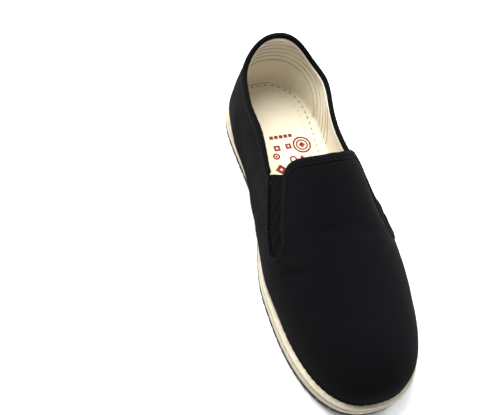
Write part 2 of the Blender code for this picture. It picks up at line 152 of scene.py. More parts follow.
INSOLE_INNER_ROW = 6.5 * MM
INSOLE_DENT = (0.28 * MM, 0.7 * MM)
INSOLE_SINK = 0.25 * MM
INSOLE_EDGE = (0.4 * MM, 0.6 * MM, 0.8 * MM)
SPARE_REACH = 2.6 * MM
COUNTER_TOP = 31 * MM
COUNTER_REACH = 44 * MM
COUNTER_FOOT = 1.2 * MM
COUNTER_LEAST = 3.5 * MM
COUNTER_STAND = 0.60 * MM
COUNTER_BACK = 0.10 * MM
COUNTER_SEAM = 1.0 * MM
COUNTER_WAVES = ((0.12 * MM, 13 * MM, 17),)
ARCH_COUNT = 5
ARCH_TOP = (34.5 * MM, 4.6 * MM)
ARCH_REACH = (47 * MM, 5.5 * MM)
ARCH_PITCH = 3.6 * MM
ARCH_SINK = 2.5 * MM
ARCH_STITCH = (1.8 * MM, 0.20 * MM)
ARCH_MARGIN = 3 * MM

# Rows and columns of the upper's mesh at full density, and where its columns are straight again
TUCK_ROWS = 8
WALL_ROWS = 46
GORE_ROWS = 17
TAB_ROWS = 62
HEEL_COLUMNS = 30
QUARTER_COLUMNS = 42
THROAT_COLUMNS = 17
SLOT_COLUMNS = 36
TIP_COLUMNS = 22
VAMP_COLUMNS = 32
TOE_COLUMNS = 40
RELAX_STATION = 0.66
GIRTH_STEPS = 121
GORE_STEPS = (110, 56)
LAYER_STEPS = 820
INSOLE_STEPS = 700
BINDING_STEPS = (900, 20)
PIPING_STEPS = (700, 12)

# Layers of the sole, from below: name, thickness, inset, bulge, the rolled top, seed and tone
LAYERS = (
    ("sole_layer_lower", LOWER_LAYER_THICKNESS, LOWER_LAYER_INSET, 1.2 * MM, False, 21, 0.93),
    ("sole_layer_middle", MIDDLE_LAYER_THICKNESS, 0.0, 1.2 * MM, False, 31, 0.96),
    ("sole_layer_top", TOP_LAYER_THICKNESS, 0.0, 1.9 * MM, True, 41, 1.0),
)

# Uneven edge of a layer: height, stretch upwards and size of its waves
LAYER_WAVES = ((0.10 * MM, 3, 16 * MM), (0.07 * MM, 4, 5 * MM))
LAYER_SINK = 0.12 * MM
LAYER_RIM = 7 * MM
TOP_LAYER_DISH = 0.6 * MM

# Roll of the top layer: distance in, height and pull of the stitches, in millimetres
TOP_ROLL = ((0.8, 0.10, 0.3), (1.5, 0.30, 0.8), (2.1, 0.35, 1.3), (2.9, -0.5, 1.5))

# Printed shapes: corners, radius, hole, start in eighths of a turn, across, along, steps a side;
# lengths in millimetres
PRINTS = (
    (40, 7.0, 5.7, 0, 15.0, 3.5, 1),
    (40, 4.6, 3.5, 0, 15.0, 3.5, 1),
    (4, 2.6, 0.1, 0, 15.0, 3.5, 6),
    (4, 2.0, 0.1, 1, -6.5, -5.2, 5),
    (4, 2.0, 0.1, 1, -2.8, -5.3, 5),
    (4, 2.0, 0.1, 1, 0.9, -5.4, 5),
    (4, 2.0, 0.1, 1, 4.6, -5.5, 5),
    (4, 2.0, 0.1, 1, 8.3, -5.6, 5),
    (4, 3.3, 1.2, 1, -4.6, 4.2, 6),
    (4, 3.1, 1.0, 1, 4.4, 3.4, 6),
    (30, 2.7, 1.5, 0, -7.0, 11.0, 1),
    (30, 0.9, 0.1, 0, -7.0, 11.0, 1),
    (30, 2.9, 1.7, 0, 5.0, 15.0, 1),
    (4, 1.6, 0.1, 0, 12.0, 14.0, 5),
    (4, 4.6, 1.3, 0, -6.5, 22.5, 6),
)
PRINT_TURN = math.radians(2)
PRINT_START = 60 * MM

# Creases: side, start and end (station, angle in degrees), depth, half width;
# a negative depth is a ridge
CREASES = (
    (1, (0.46, 24), (0.625, 17.5), -3.0 * MM, 7.5 * MM),
    (1, (0.47, 48), (0.60, 40), 1.1 * MM, 6.0 * MM),
    (-1, (0.17, 4), (0.47, 4), -4.2 * MM, 10.0 * MM),
    (-1, (0.61, 24), (0.655, 58), -0.6 * MM, 3.0 * MM),
    (-1, (0.635, 22), (0.675, 60), 0.7 * MM, 3.5 * MM),
    (-1, (0.585, 62), (0.60, 86), 0.7 * MM, 4.0 * MM),
    (1, (0.600, 88), (0.615, 60), 0.6 * MM, 4.5 * MM),
    (1, (0.63, 30), (0.67, 62), 0.30 * MM, 4.0 * MM),
    (-1, (0.48, 60), (0.55, 84), 0.25 * MM, 6.0 * MM),
    (-1, (0.30, 4), (0.36, 20), 0.40 * MM, 4.0 * MM),
    (-1, (0.17, 8), (0.20, 40), 0.30 * MM, 5.0 * MM),
    (1, (0.30, 4), (0.35, 20), 0.40 * MM, 4.0 * MM),
    (1, (0.17, 6), (0.21, 38), 0.30 * MM, 5.0 * MM),
    (-1, (0.72, 10), (0.78, 26), 0.25 * MM, 4.0 * MM),
    (1, (0.74, 8), (0.80, 24), 0.25 * MM, 4.0 * MM),
)

# How the soft heel stands in use
SOFT_SLOTS = ("cotton", "binding", "sock")
SWELL = 4.2 * MM
SWELL_STATION = 0.14
SWELL_REACH = 0.075
PINCH = 1.6 * MM
PINCH_STATION = 0.115
PINCH_REACH = 0.05
BACK_RISE = 2.0 * MM
BACK_STATION = 0.09
SETTLE_FOOT = 6 * MM
SETTLE_HEIGHT = 40 * MM
SWELL_SPREAD = (4 * MM, 28 * MM)
PINCH_SPREAD = (6 * MM, 18 * MM)

# Camera fitted to the photograph, in degrees, millimetres and pixels of a 500 px wide frame
CAMERA_AZIMUTH = -35.3
CAMERA_ELEVATION = 57.5
CAMERA_ROLL = 21.0
CAMERA_TARGET = (-41.2 * MM, 23.7 * MM, 20.0 * MM)
CAMERA_DISTANCE = 712 * MM
CAMERA_FOCUS_PX = 1024
FRAME_WIDTH_PX = 500
SENSOR_WIDTH = 36.0

# Lamps: name, place, size, power and colour
LAMPS = (
    ("key_light", (-0.32, 0.62, 1.17), 1.0, 36.0, (1.0, 0.985, 0.955)),
    ("rim_light", (1.30, 0.35, 0.55), 0.8, 22.0, (0.95, 0.97, 1.0)),
)
SKY_STRENGTH = (0.36, 1.08)
FLOOR_SIZE = 60


# The last: the same functions as in the part's source, for arrays

def smooth(table, column, x):
    """Value of a table's column at x, on a smooth curve through its rows."""
    keys = np.array([row[0] for row in table])
    values = np.array([row[column] for row in table])
    slopes = np.gradient(values, keys)
    i = np.clip(np.searchsorted(keys, x) - 1, 0, len(keys) - 2)
    span = keys[i + 1] - keys[i]
    t = np.clip((x - keys[i]) / span, 0, 1)
    start = (2 * t**3 - 3 * t**2 + 1) * values[i] + (t**3 - 2 * t**2 + t) * span * slopes[i]
    end = (3 * t**2 - 2 * t**3) * values[i + 1] + (t**3 - t**2) * span * slopes[i + 1]
    return start + end


def ease(x):
    """Smooth step from 0 to 1."""
    t = np.clip(x, 0, 1)
    return t * t * (3 - 2 * t)


def sole_half_width(station, side):
    """Half width of the sole: round heel, eased waist, round toe."""
    ball = BALL_STATION[side]
    waist = WAIST_HALF_WIDTH[side]
    power = TOE_SQUARENESS[side]
    toe_share = np.clip((station - ball) / (1 - ball), 0, 1)
    toe = BALL_HALF_WIDTH * (1 - toe_share**power) ** (1 / power)
    heel_share = np.clip(1 - station / HEEL_STATION, 0, 1)
    heel = HEEL_HALF_WIDTH * (1 - heel_share**HEEL_SQUARENESS) ** (1 / HEEL_SQUARENESS)
    to_waist = ease((station - HEEL_STATION) / (WAIST_STATION - HEEL_STATION))
    to_ball = ease((station - WAIST_STATION) / (ball - WAIST_STATION))
    back = HEEL_HALF_WIDTH + (waist - HEEL_HALF_WIDTH) * to_waist
    front = waist + (BALL_HALF_WIDTH - waist) * to_ball
    middle = np.where(station < WAIST_STATION, back, front)
    return np.where(station < HEEL_STATION, heel, np.where(station > ball, toe, middle))


def lean(station):
    """Sideways shift of the shoe's middle line."""
    share = np.clip((station - LEAN_STATION) / (1 - LEAN_STATION), 0, 1)
    return -TOE_LEAN * share**2


def lift(along):
    """Height of the sole's underside over the floor: arch and toe spring."""
    station = along / LENGTH
    start, end = ARCH_STATIONS
    arch = ARCH_RISE * np.sin(np.pi * np.clip((station - start) / (end - start), 0, 1)) ** 2
    spring = np.clip((station - SPRING_STATION) / (1 - SPRING_STATION), 0, None)
    return arch + TOE_SPRING * spring**2


def outline(inset):
    """Closed plan curve of the sole, moved inwards by inset(station): across and along.

    A few points at the toe's and the heel's middle are left out, where the offset is rough.
    """
    share = (1 - np.cos(np.linspace(0, np.pi, 900))) / 2
    halves = []
    for side in SIDES:
        across = lean(share) + side * sole_half_width(share, side)
        along = LENGTH * share
        run = np.gradient(along)
        swing = np.gradient(across)
        size = np.hypot(run, swing)
        step = inset(share)
        moved = np.stack([across - side * run / size * step, along + side * swing / size * step])
        halves.append(moved[:, END_TRIM:-END_TRIM])
    left, right = halves
    return np.concatenate([left[0], right[0][::-1]]), np.concatenate([left[1], right[1][::-1]])


def even(inset):
    """The same inset at every station."""
    return lambda station: inset + 0 * station


def reach(curve, spine, bearing):
    """Plan points where the sections at spine points and bearings cross a closed curve."""
    points = []
    for spot, turn in zip(spine, bearing):
        seen = np.unwrap(np.arctan2(curve[0] - spot[0], curve[1] - spot[1]))
        seen -= 2 * np.pi * np.round(seen[len(seen) // 2] / (2 * np.pi))
        far = np.hypot(curve[0] - spot[0], curve[1] - spot[1])
        distance = np.interp(turn, seen[::-1], far[::-1])
        points.append(spot + distance * np.array([math.sin(turn), math.cos(turn)]))
    return np.array(points)


def half_at(curve, side, along):
    """Across position of one side of a closed curve at given distances from the heel."""
    half = len(curve[0]) // 2
    picked = slice(0, half) if side > 0 else slice(None, half - 1, -1)
    return np.interp(along, np.maximum.accumulate(curve[1][picked]), curve[0][picked])


class Cuts:
    """Sections of the last, with their points on the widest line and the feather line."""

    def __init__(self, side, spine, rim, feather, bearing):
        """Takes a side, and plan points and bearings, one for each section."""
        self.side = side
        self.spine = spine
        self.rim = rim
        self.feather = feather
        self.bearing = bearing


def side_cuts(side, station):
    """Sections square to the shoe's middle line, at an array of stations."""
    along = LENGTH * station
    spine = np.stack([lean(station), along], -1)
    rim = np.stack([half_at(WIDEST_CURVE, side, along), along], -1)
    feather = np.stack([half_at(FEATHER_CURVE, side, along), along], -1)
    return Cuts(side, spine, rim, feather, np.full(station.shape, side * math.pi / 2))


def fan_cuts(side, station, bearing):
    """Sections fanned round an end of the spine."""
    spot = np.array([float(lean(station)), LENGTH * station])
    spine = np.repeat(spot[None], len(bearing), 0)
    turned = side * bearing
    rim, feather = [reach(curve, spine, turned) for curve in (WIDEST_CURVE, FEATHER_CURVE)]
    return Cuts(side, spine, rim, feather, turned)


def column(cuts):
    """The same sections as one column, to be met with rows of angles."""
    parts = (cuts.spine, cuts.rim, cuts.feather, cuts.bearing)
    return Cuts(cuts.side, *[part[:, None] for part in parts])


def place(plan, height):
    """World points over plan points, at heights over the bent sole's underside."""
    across, along = plan[..., 0], plan[..., 1]
    return np.stack([across - MIDDLE, LENGTH / 2 - along, height + lift(along)], -1)


def skin(cuts, angle):
    """Points of the upper's outer face."""
    station = cuts.rim[..., 1] / LENGTH
    across = smooth(FULLNESS, 1, station)
    up = smooth(FULLNESS, 2, station)
    swing = np.clip(np.cos(angle), 0, 1) ** (2 / across)
    plan = cuts.spine + (cuts.rim - cuts.spine) * swing[..., None]
    ridge = INSTEP_HEIGHT * smooth(RIDGE, 1, plan[..., 1] / LENGTH)
    rise = WIDEST_RISE + (ridge - WIDEST_RISE) * np.clip(np.sin(angle), 0, 1) ** (2 / up)
    return place(plan, FEATHER_HEIGHT + rise)


def tuck(cuts, share):
    """Points of the outer face between the feather line, at 0, and the widest line, at 1."""
    angle = TUCK_ANGLE + (math.pi / 2 - TUCK_ANGLE) * share
    out = (np.sin(angle) - math.sin(TUCK_ANGLE)) / (1 - math.sin(TUCK_ANGLE))
    rise = WIDEST_RISE * (math.cos(TUCK_ANGLE) - np.cos(angle)) / math.cos(TUCK_ANGLE)
    plan = cuts.feather + (cuts.rim - cuts.feather) * out[..., None]
    return place(plan, FEATHER_HEIGHT + rise)


def rate(cuts, angle):
    """How far the skin moves per radian of angle."""
    step = math.radians(0.5)
    return np.linalg.norm(skin(cuts, angle + step) - skin(cuts, angle - step), axis=-1) / (2 * step)


def collar_angle(cuts):
    """Angle of the collar line, the top of the binding."""
    station = cuts.rim[..., 1] / LENGTH
    up = smooth(FULLNESS, 2, station)
    height = HEEL_HEIGHT * smooth(COLLAR, 1, station)
    ridge = INSTEP_HEIGHT * smooth(RIDGE, 1, station)
    share = np.clip((height - WIDEST_RISE) / (ridge - WIDEST_RISE), 0, 0.95)
    angle = np.arcsin(share ** (up / 2))
    to_notch = ease((station - RAISE_STATION) / (NOTCH_STATION - RAISE_STATION))
    return angle + GORE_RAISE[cuts.side] * to_notch / rate(cuts, angle)


def wall_angle(cuts):
    """Angle of the quarters' top edge, inside the binding's fold."""
    top = collar_angle(cuts)
    return top - FOLD_DEPTH / rate(cuts, top - math.radians(2))


def gore_angle(cuts, station, across):
    """Angle across the gore's strip, from -1 at its lower edge to 1 at its upper edge."""
    middle = np.radians(smooth(GORE_LINE, 1, station))
    half = GORE_HALF_WIDTH * smooth(GORE_LINE, 2, station)
    return middle + (GORE_RAISE[cuts.side] + across * half) / rate(cuts, middle)


def throat_start(share):
    """Station of the vamp's back edge, at shares of the way from the tab's side to the ridge."""
    return THROAT_STATION - EAR_SETBACK * smooth(THROAT, 1, share) / LENGTH


EDGE_CURVE = outline(even(0.0))
MIDDLE = float(EDGE_CURVE[0].max() + EDGE_CURVE[0].min()) / 2
FEATHER_CURVE = outline(even(FEATHER_INSET))
WIDEST_CURVE = outline(lambda station: FEATHER_INSET - WAIST_BULGE * smooth(BULGE, 1, station))
FEATHER_HEIGHT = (OUTSOLE_THICKNESS + LOWER_LAYER_THICKNESS + MIDDLE_LAYER_THICKNESS
                  + TOP_LAYER_THICKNESS + 4 * CLEARANCE)
GORE_TIP = GORE_HALF_WIDTH * 0.75 / LENGTH
SLOT_STATION = GORE_END_STATION - GORE_TIP
TAB_STATION = float(throat_start(np.array(0.0)))


# Meshes

def graded(count, start=0.0, end=0.0, power=1.0):
    """Shares from 0 to 1, finer towards the start by a power, with two fine steps at its ends."""
    shares = np.linspace(0, 1, count) ** power
    if start:
        shares = np.concatenate([[0, start, 2.5 * start], shares[shares > 3.2 * start]])
    if end:
        shares = np.concatenate([shares[shares < 1 - 3.2 * end], [1 - 2.5 * end, 1 - end, 1]])
    return shares


def unit(vectors):
    """Vectors at length 1."""
    return vectors / np.linalg.norm(vectors, axis=-1, keepdims=True)


def run_lengths(lines):
    """Distance along each line to each of its points; lines run along the axis before the last."""
    total = np.cumsum(np.linalg.norm(np.diff(lines, axis=-2), axis=-1), -1)
    return np.concatenate([np.zeros_like(total[..., :1]), total], -1)


def sampled(at, run, line):
    """Values of a line's columns where its run length, or another measure, is at."""
    return np.stack([np.interp(at, run, line[:, k]) for k in range(line.shape[1])], -1)


def resampled(lines, count):
    """Lines of points at another number of points."""
    rows = np.linspace(0, len(lines[0]) - 1, count)
    return [sampled(rows, np.arange(len(line)), line) for line in lines]


def grid_faces(index):
    """Quads of a sheet, from its rows and columns of point numbers."""
    corners = [index[:-1, :-1], index[:-1, 1:], index[1:, 1:], index[1:, :-1]]
    return np.stack(corners, -1).reshape(-1, 4)


def loop_faces(low, high):
    """Quads between closed loops of point numbers, one or many."""
    corners = [low, np.roll(low, -1, -1), np.roll(high, -1, -1), high]
    return np.stack(corners, -1).reshape(-1, 4)


def face_normals(points, faces):
    """Area weighted normals of the vertices of a mesh of quads."""
    p = points[faces]
    normal = np.cross(p[:, 2] - p[:, 0], p[:, 3] - p[:, 1])
    total = np.zeros_like(points)
    for k in range(4):
        np.add.at(total, faces[:, k], normal)
    return total / np.maximum(np.linalg.norm(total, axis=1, keepdims=True), 1e-12)


def settle(points):
    """Lets the soft heel give as it has in use: its top stands out on side 1 and up behind."""
    along = LENGTH / 2 - points[:, 1]
    height = points[:, 2] - lift(along) - FEATHER_HEIGHT
    share = ease((height - SETTLE_FOOT) / SETTLE_HEIGHT)
    station = along / LENGTH
    swell = SWELL * np.exp(-(((station - SWELL_STATION) / SWELL_REACH) ** 2))
    pinch = PINCH * np.exp(-(((station - PINCH_STATION) / PINCH_REACH) ** 2))
    across = points[:, 0]
    moved = points.copy()
    moved[:, 0] += share * swell * ease((across + SWELL_SPREAD[0]) / SWELL_SPREAD[1])
    moved[:, 0] += share * pinch * ease((-across - PINCH_SPREAD[0]) / PINCH_SPREAD[1])
    back = ease((BACK_STATION - station) / BACK_STATION)
    moved[:, 2] += BACK_RISE * back * share
    return moved


def make_piece(name, points, faces, material, slot, maps=None, replaces=(), sharp=50):
    """A smooth shaded object on the shoe, from points and faces, with its cloth coordinates."""
    if slot in SOFT_SLOTS:
        points = settle(np.asarray(points))
    mesh = bpy.data.meshes.new(name)
    tidy = [tuple(dict.fromkeys(face)) for face in np.asarray(faces).tolist()]
    kept = [k for k, face in enumerate(tidy) if len(face) > 2]
    mesh.from_pydata([tuple(p) for p in np.asarray(points).tolist()], [], [tidy[k] for k in kept])
    if maps is not None:
        layer = mesh.uv_layers.new(name="cloth")
        flat = []
        for k in kept:
            seen = {}
            for corner, spot in zip(faces[k], maps[k]):
                seen.setdefault(int(corner), spot)
            flat.extend(seen[v] for v in tidy[k])
        layer.uv.foreach_set("vector", np.array(flat, np.float32).ravel())
    mesh.validate()
    mesh.shade_smooth()
    mesh.set_sharp_from_angle(angle=math.radians(sharp))
    thing = bpy.data.objects.new(name, mesh)
    bpy.context.scene.collection.objects.link(thing)
    mesh.materials.append(material)
    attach(thing, "root")
    if replaces:
        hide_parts(*replaces)
    return thing


def shell(points, faces, maps, normals, outer, inner):
    """Closed shell round an open sheet: its points at two heights, and its edges closed."""
    count = len(points)
    both = np.concatenate([points + normals * outer[:, None], points + normals * inner[:, None]])
    edges = {}
    for f, face in enumerate(faces.tolist()):
        for k in range(4):
            a, b = face[k], face[(k + 1) % 4]
            if a != b:
                edges[(a, b)] = (f, k)
    rim, rim_maps = [], []
    for (a, b), (f, k) in edges.items():
        if (b, a) not in edges:
            rim.append((b, a, a + count, b + count))
            start, end = maps[f][k], maps[f][(k + 1) % 4]
            rim_maps.append((end, start, start, end))
    all_faces = np.concatenate([faces, faces[:, ::-1] + count, np.array(rim)])
    all_maps = np.concatenate([maps, maps[:, ::-1], np.array(rim_maps)])
    return both, all_faces, all_maps


def girth(cuts):
    """Angles from 0 to 90 degrees and the arc length from each to the ridge, on every section."""
    angles = np.linspace(0, math.pi / 2, GIRTH_STEPS)
    line = skin(column(cuts), angles[None])
    return angles, run_lengths(line[:, ::-1])[:, ::-1]


def to_cloth(side, station, angle):
    """Cloth coordinates of points of the side sections."""
    angles, arc = girth(side_cuts(side, np.atleast_1d(station)))
    v = np.array([np.interp(a, angles, row) for a, row in zip(np.atleast_1d(angle), arc)])
    return np.stack([LENGTH * np.atleast_1d(station), side * v], -1)


def on_cloth(side, spots, height=0.0):
    """World points and normals of cloth coordinates."""
    station = spots[:, 0] / LENGTH
    cuts = side_cuts(side, station)
    angles, arc = girth(cuts)
    pairs = zip(np.abs(spots[:, 1]), arc)
    angle = np.array([np.interp(v, row[::-1], angles[::-1]) for v, row in pairs])
    point = skin(cuts, angle)
    step = MM / LENGTH
    ahead = skin(side_cuts(side, station + step), angle) - skin(side_cuts(side, station - step), angle)
    climb = skin(cuts, np.minimum(angle + 0.01, math.pi / 2)) - skin(cuts, angle - 0.01)
    normal = unit(side * np.cross(climb, ahead))
    return point + normal * height, normal


def opening_edge(side):
    """Edge of the vamp and the gore's slot in cloth coordinates, from the ridge to the notch."""
    share = np.linspace(1, 0, 70)
    start = throat_start(share)
    low = gore_angle(side_cuts(side, start), start, 1) + TAB_MARGIN
    throat = to_cloth(side, start, low + (math.pi / 2 - low) * share)
    down = np.linspace(TAB_STATION, SLOT_STATION, 60)[1:]
    upper = to_cloth(side, down, gore_angle(side_cuts(side, down), down, 1))
    turn = np.linspace(0, math.pi, 40)[1:-1]
    bend = SLOT_STATION + GORE_TIP * np.sin(turn)
    tip = to_cloth(side, bend, gore_angle(side_cuts(side, bend), bend, np.cos(turn)))
    back = np.linspace(SLOT_STATION, NOTCH_STATION, 70)
    lower = to_cloth(side, back, gore_angle(side_cuts(side, back), back, -1))
    others = len(upper) + len(tip) + len(lower)
    widths = np.repeat([THROAT_HEM, GORE_HEM], [len(throat), others])
    for _ in range(6):
        widths[1:-1] = (widths[:-2] + 2 * widths[1:-1] + widths[2:]) / 4
    return np.concatenate([throat, upper, tip, lower]), widths


def distance_to(line, spots):
    """Distance from spots to a line of points, and the place of the nearest point on it."""
    best = np.full(len(spots), 1e9)
    nearest = np.zeros(len(spots))
    for k in range(len(line) - 1):
        start, run = line[k], line[k + 1] - line[k]
        t = np.clip(((spots - start) @ run) / max(run @ run, 1e-12), 0, 1)
        far = np.linalg.norm(spots - start - t[:, None] * run, axis=1)
        closer = far < best
        best = np.where(closer, far, best)
        nearest = np.where(closer, k + t, nearest)
    return best, nearest


class Layout:
    """Rows and columns of the upper's sheet.

    Rows run from the feather line up to the ridge, columns from the heel to the toe. fine is
    the share of the full mesh density, margin the distance that the sheet keeps from the
    edges of the throat and the gores' slots.
    """

    def __init__(self, fine, margin):
        """Works out the rows and columns from the mesh density and the margin."""
        def count(full):
            """Number of steps at this density."""
            return max(int(full * fine), 4)

        heel, toe = SPINE_STATIONS
        zones = (
            (heel, NOTCH_STATION, np.linspace(0, 1, count(QUARTER_COLUMNS))),
            (NOTCH_STATION, JOIN_STATION, graded(count(THROAT_COLUMNS), start=0.03)),
            (JOIN_STATION, SLOT_STATION, graded(count(SLOT_COLUMNS), power=FINER)),
            (SLOT_STATION, RELAX_STATION, graded(count(TIP_COLUMNS), start=0.012)),
            (RELAX_STATION, toe, np.linspace(0, 1, count(VAMP_COLUMNS))),
        )
        self.shares = [share[:-1] for _, _, share in zones]
        self.stations = np.concatenate([start + (end - start) * share[:-1] for start, end, share in zones])
        self.heel_fan = count(HEEL_COLUMNS)
        self.toe_fan = count(TOE_COLUMNS)
        starts = self.heel_fan + np.cumsum([len(share) for share in self.shares])
        self.notch, self.join, self.slot_end, self.relax, self.pole = starts
        self.columns = self.pole + self.toe_fan
        self.tucks = count(TUCK_ROWS)
        self.walls = 1 - graded(count(WALL_ROWS), start=0.010, power=FINER)[::-1]
        self.arcs = -np.cos(np.linspace(0, math.pi, count(GORE_ROWS)))
        self.gores = self.arcs * (1 + margin / GORE_HALF_WIDTH)
        self.tabs = graded(count(TAB_ROWS), start=0.006, power=FINER)
        self.low_row = self.tucks + len(self.walls) - 1
        self.high_row = self.low_row + len(self.gores) - 1
        self.rows = self.high_row + len(self.tabs)
        self.margin = margin / LENGTH


def upper_sections(layout, side):
    """Sections of all columns of the upper's sheet, and each one's station."""
    heel, toe = SPINE_STATIONS
    behind = math.pi * (1 - np.arange(layout.heel_fan) / layout.heel_fan / 2)
    ahead = math.pi / 2 * (1 - np.arange(layout.toe_fan) / (layout.toe_fan - 1))
    lots = [fan_cuts(side, heel, behind), side_cuts(side, layout.stations), fan_cuts(side, toe, ahead)]
    parts = [np.concatenate([getattr(lot, part) for lot in lots])
             for part in ("spine", "rim", "feather", "bearing")]
    joined = Cuts(side, *parts)
    own = joined.rim[:, 1] / LENGTH
    own[layout.heel_fan:layout.pole] = layout.stations
    return joined, own


def upper_angles(layout, cuts, own):
    """Angle of each row of the upper's sheet, on all its sections."""
    quarters = np.arange(layout.columns) < layout.notch
    # Towards the toe the rows of both sides come to the same heights
    level = sum(GORE_RAISE.values()) / 2 - GORE_RAISE[cuts.side]
    level = level * ease((own - RELAX_STATION) / (SPINE_STATIONS[1] - RELAX_STATION))
    shift = level / rate(cuts, math.radians(GORE_LINE[-1][1]))
    wide = np.array([gore_angle(cuts, own, across) + shift for across in layout.gores]).T
    top = np.where(quarters, wall_angle(cuts), wide[:, 0])
    angle = np.zeros((layout.columns, layout.rows))
    angle[:, layout.tucks:layout.low_row + 1] = top[:, None] * layout.walls
    angle[:, layout.low_row:layout.high_row + 1] = np.where(quarters[:, None], top[:, None], wide)
    high = angle[:, layout.high_row, None]
    angle[:, layout.high_row:] = high + (math.pi / 2 - high) * layout.tabs
    return angle


def upper_side(layout, side):
    """One side of the upper: points, cloth coordinates, heights and run along the foot's seam."""
    joined, own = upper_sections(layout, side)
    angle = upper_angles(layout, joined, own)
    tucks, heel_fan, toe_fan = layout.tucks, layout.heel_fan, layout.toe_fan
    points = skin(column(joined), angle)
    points[:, :tucks] = tuck(column(joined), np.linspace(0, 1, tucks + 1)[None, :-1])
    # Back edge of the vamp, round the tab's ears
    share = layout.shares[1][:, None]
    begin = throat_start(layout.tabs)[None] + layout.margin
    where = begin + (JOIN_STATION - begin) * share
    cuts = side_cuts(side, where)
    base = gore_angle(cuts, where, layout.gores[-1]) + TAB_MARGIN * (1 - share) ** 2
    ears = (slice(layout.notch, layout.join), slice(layout.high_row, None))
    angle[ears] = base + (math.pi / 2 - base) * layout.tabs
    points[ears] = skin(cuts, angle[ears])
    # Round end of the slot
    share = layout.shares[3][:, None]
    tip = SLOT_STATION + (GORE_TIP + layout.margin) * np.sqrt(np.clip(1 - layout.arcs**2, 0, 1))
    bent = tip + (RELAX_STATION - tip) * share
    cuts = side_cuts(side, bent)
    bend = (slice(layout.slot_end, layout.relax), slice(layout.low_row, layout.high_row + 1))
    angle[bend] = gore_angle(cuts, bent, layout.gores)
    points[bend] = skin(cuts, angle[bend])
    # Cloth coordinates: arcs down from the ridge
    full, arc = girth(joined)
    v = np.array([np.interp(a, full, row) for a, row in zip(angle, arc)])
    drop = np.linalg.norm(points - points[:, tucks:tucks + 1], axis=-1)
    v[:, :tucks] = v[:, tucks:tucks + 1] + drop[:, :tucks]
    u = LENGTH / 2 - points[..., 1]
    turn = (math.pi / 2 - np.abs(joined.bearing[-toe_fan:]))[:, None]
    u[-toe_fan:] = LENGTH * SPINE_STATIONS[1] + v[-toe_fan:] * np.sin(turn)
    v[-toe_fan:] = v[-toe_fan:] * np.cos(turn)
    round_heel = run_lengths(joined.rim[heel_fan::-1])[:0:-1]
    u[:heel_fan] = LENGTH * SPINE_STATIONS[0] - round_heel[:, None]
    height = points[..., 2] - lift(LENGTH / 2 - points[..., 1]) - FEATHER_HEIGHT
    run = run_lengths(joined.feather)
    seam = np.broadcast_to((run[-1] - run)[:, None], v.shape)
    return points, np.stack([u, side * v], -1), height, seam


def upper_grid(fine, margin=0.0):
    """Skin of the upper as a sheet: points, faces, cloth coordinates and each point's marks.

    The quarters end at the collar, and no faces lie in the gores' slots.
    """
    layout = Layout(fine, margin)
    sides = [upper_side(layout, side) for side in SIDES]
    points, cloth, height, seam = [np.stack(both) for both in zip(*sides)]
    columns, rows, pole = layout.columns, layout.rows, layout.pole
    low_row, high_row = layout.low_row, layout.high_row
    ids = np.arange(2 * columns * rows).reshape(2, columns, rows)
    spots = ids.copy()
    ids[1, 0], ids[1, -1], ids[1, :, -1] = ids[0, 0], ids[0, -1], ids[0, :, -1]
    ids[:, pole:, -1] = ids[0, pole, -1]
    shown = np.ones((columns - 1, rows - 1), bool)
    shown[:layout.notch, low_row:] = False
    shown[layout.notch:layout.slot_end, low_row:high_row] = False
    i, j = np.nonzero(shown)
    faces, corners = [], []
    for index in range(2):
        order = ((i, j), (i, j + 1), (i + 1, j + 1), (i + 1, j))
        order = order if index == 0 else order[::-1]
        faces.append(np.stack([ids[index][a, b] for a, b in order], -1))
        corners.append(np.stack([spots[index][a, b] for a, b in order], -1))
    faces, corners = np.concatenate(faces), np.concatenate(corners)
    used, packed = np.unique(faces, return_inverse=True)
    packed = packed.reshape(faces.shape)
    sheet = {
        "points": points.reshape(-1, 3)[used], "faces": packed, "maps": cloth.reshape(-1, 2)[corners],
        "cloth": cloth.reshape(-1, 2)[used], "height": height.ravel()[used], "seam": seam.ravel()[used],
        "side": np.where(used < columns * rows, 1, -1),
    }
    sheet["normals"] = face_normals(sheet["points"], packed)
    return sheet


def sheet_parts(sheet):
    """What shell takes of a sheet."""
    return [sheet[key] for key in ("points", "faces", "maps", "normals")]


def opening_marks(sheet):
    """Distance of each point of the upper to the opening's edge, and the hem's width there."""
    distance = np.full(len(sheet["points"]), 1.0)
    width = np.full(len(distance), GORE_HEM)
    for side in SIDES:
        line, widths = opening_edge(side)
        near = (sheet["side"] == side) | (np.abs(sheet["cloth"][:, 1]) < 1e-6)
        near &= sheet["cloth"][:, 0] > LENGTH * (NOTCH_STATION - 0.01)
        near &= sheet["cloth"][:, 0] < LENGTH * (GORE_END_STATION + 0.06)
        far, spot = distance_to(line, sheet["cloth"][near])
        distance[near] = far
        width[near] = np.interp(spot, np.arange(len(widths)), widths)
    return distance, width


def rounded(distance, radius):
    """How far an edge's face drops at a distance from the edge, for a round of this radius."""
    share = np.clip(1 - distance / radius, 0, 1)
    return radius * (1 - np.sqrt(1 - share**2))


def crease_relief(cloth):
    """Soft troughs and ridges, placed at cloth coordinates."""
    relief = np.zeros(len(cloth))
    for side, start, end, depth, width in CREASES:
        spots = to_cloth(side, np.array([start[0], end[0]]), np.radians([start[1], end[1]]))
        share = np.linspace(0, 1, 12)[:, None]
        line = spots[0] + (spots[1] - spots[0]) * share
        run = spots[1] - spots[0]
        bow = np.array([run[1], -run[0]]) * 0.12
        line = line + bow * np.sin(math.pi * share)
        far, spot = distance_to(line, cloth)
        taper = np.sin(math.pi * np.clip(spot / 11, 0.08, 0.92)) ** 0.7
        relief -= depth * taper * np.exp(-((far / width) ** 2))
    return relief


def foot_fade(sheet):
    """Share of the creases that is left near the sole, where the cloth is held."""
    return ease((sheet["height"] - HELD_HEIGHT[0]) / HELD_HEIGHT[1])


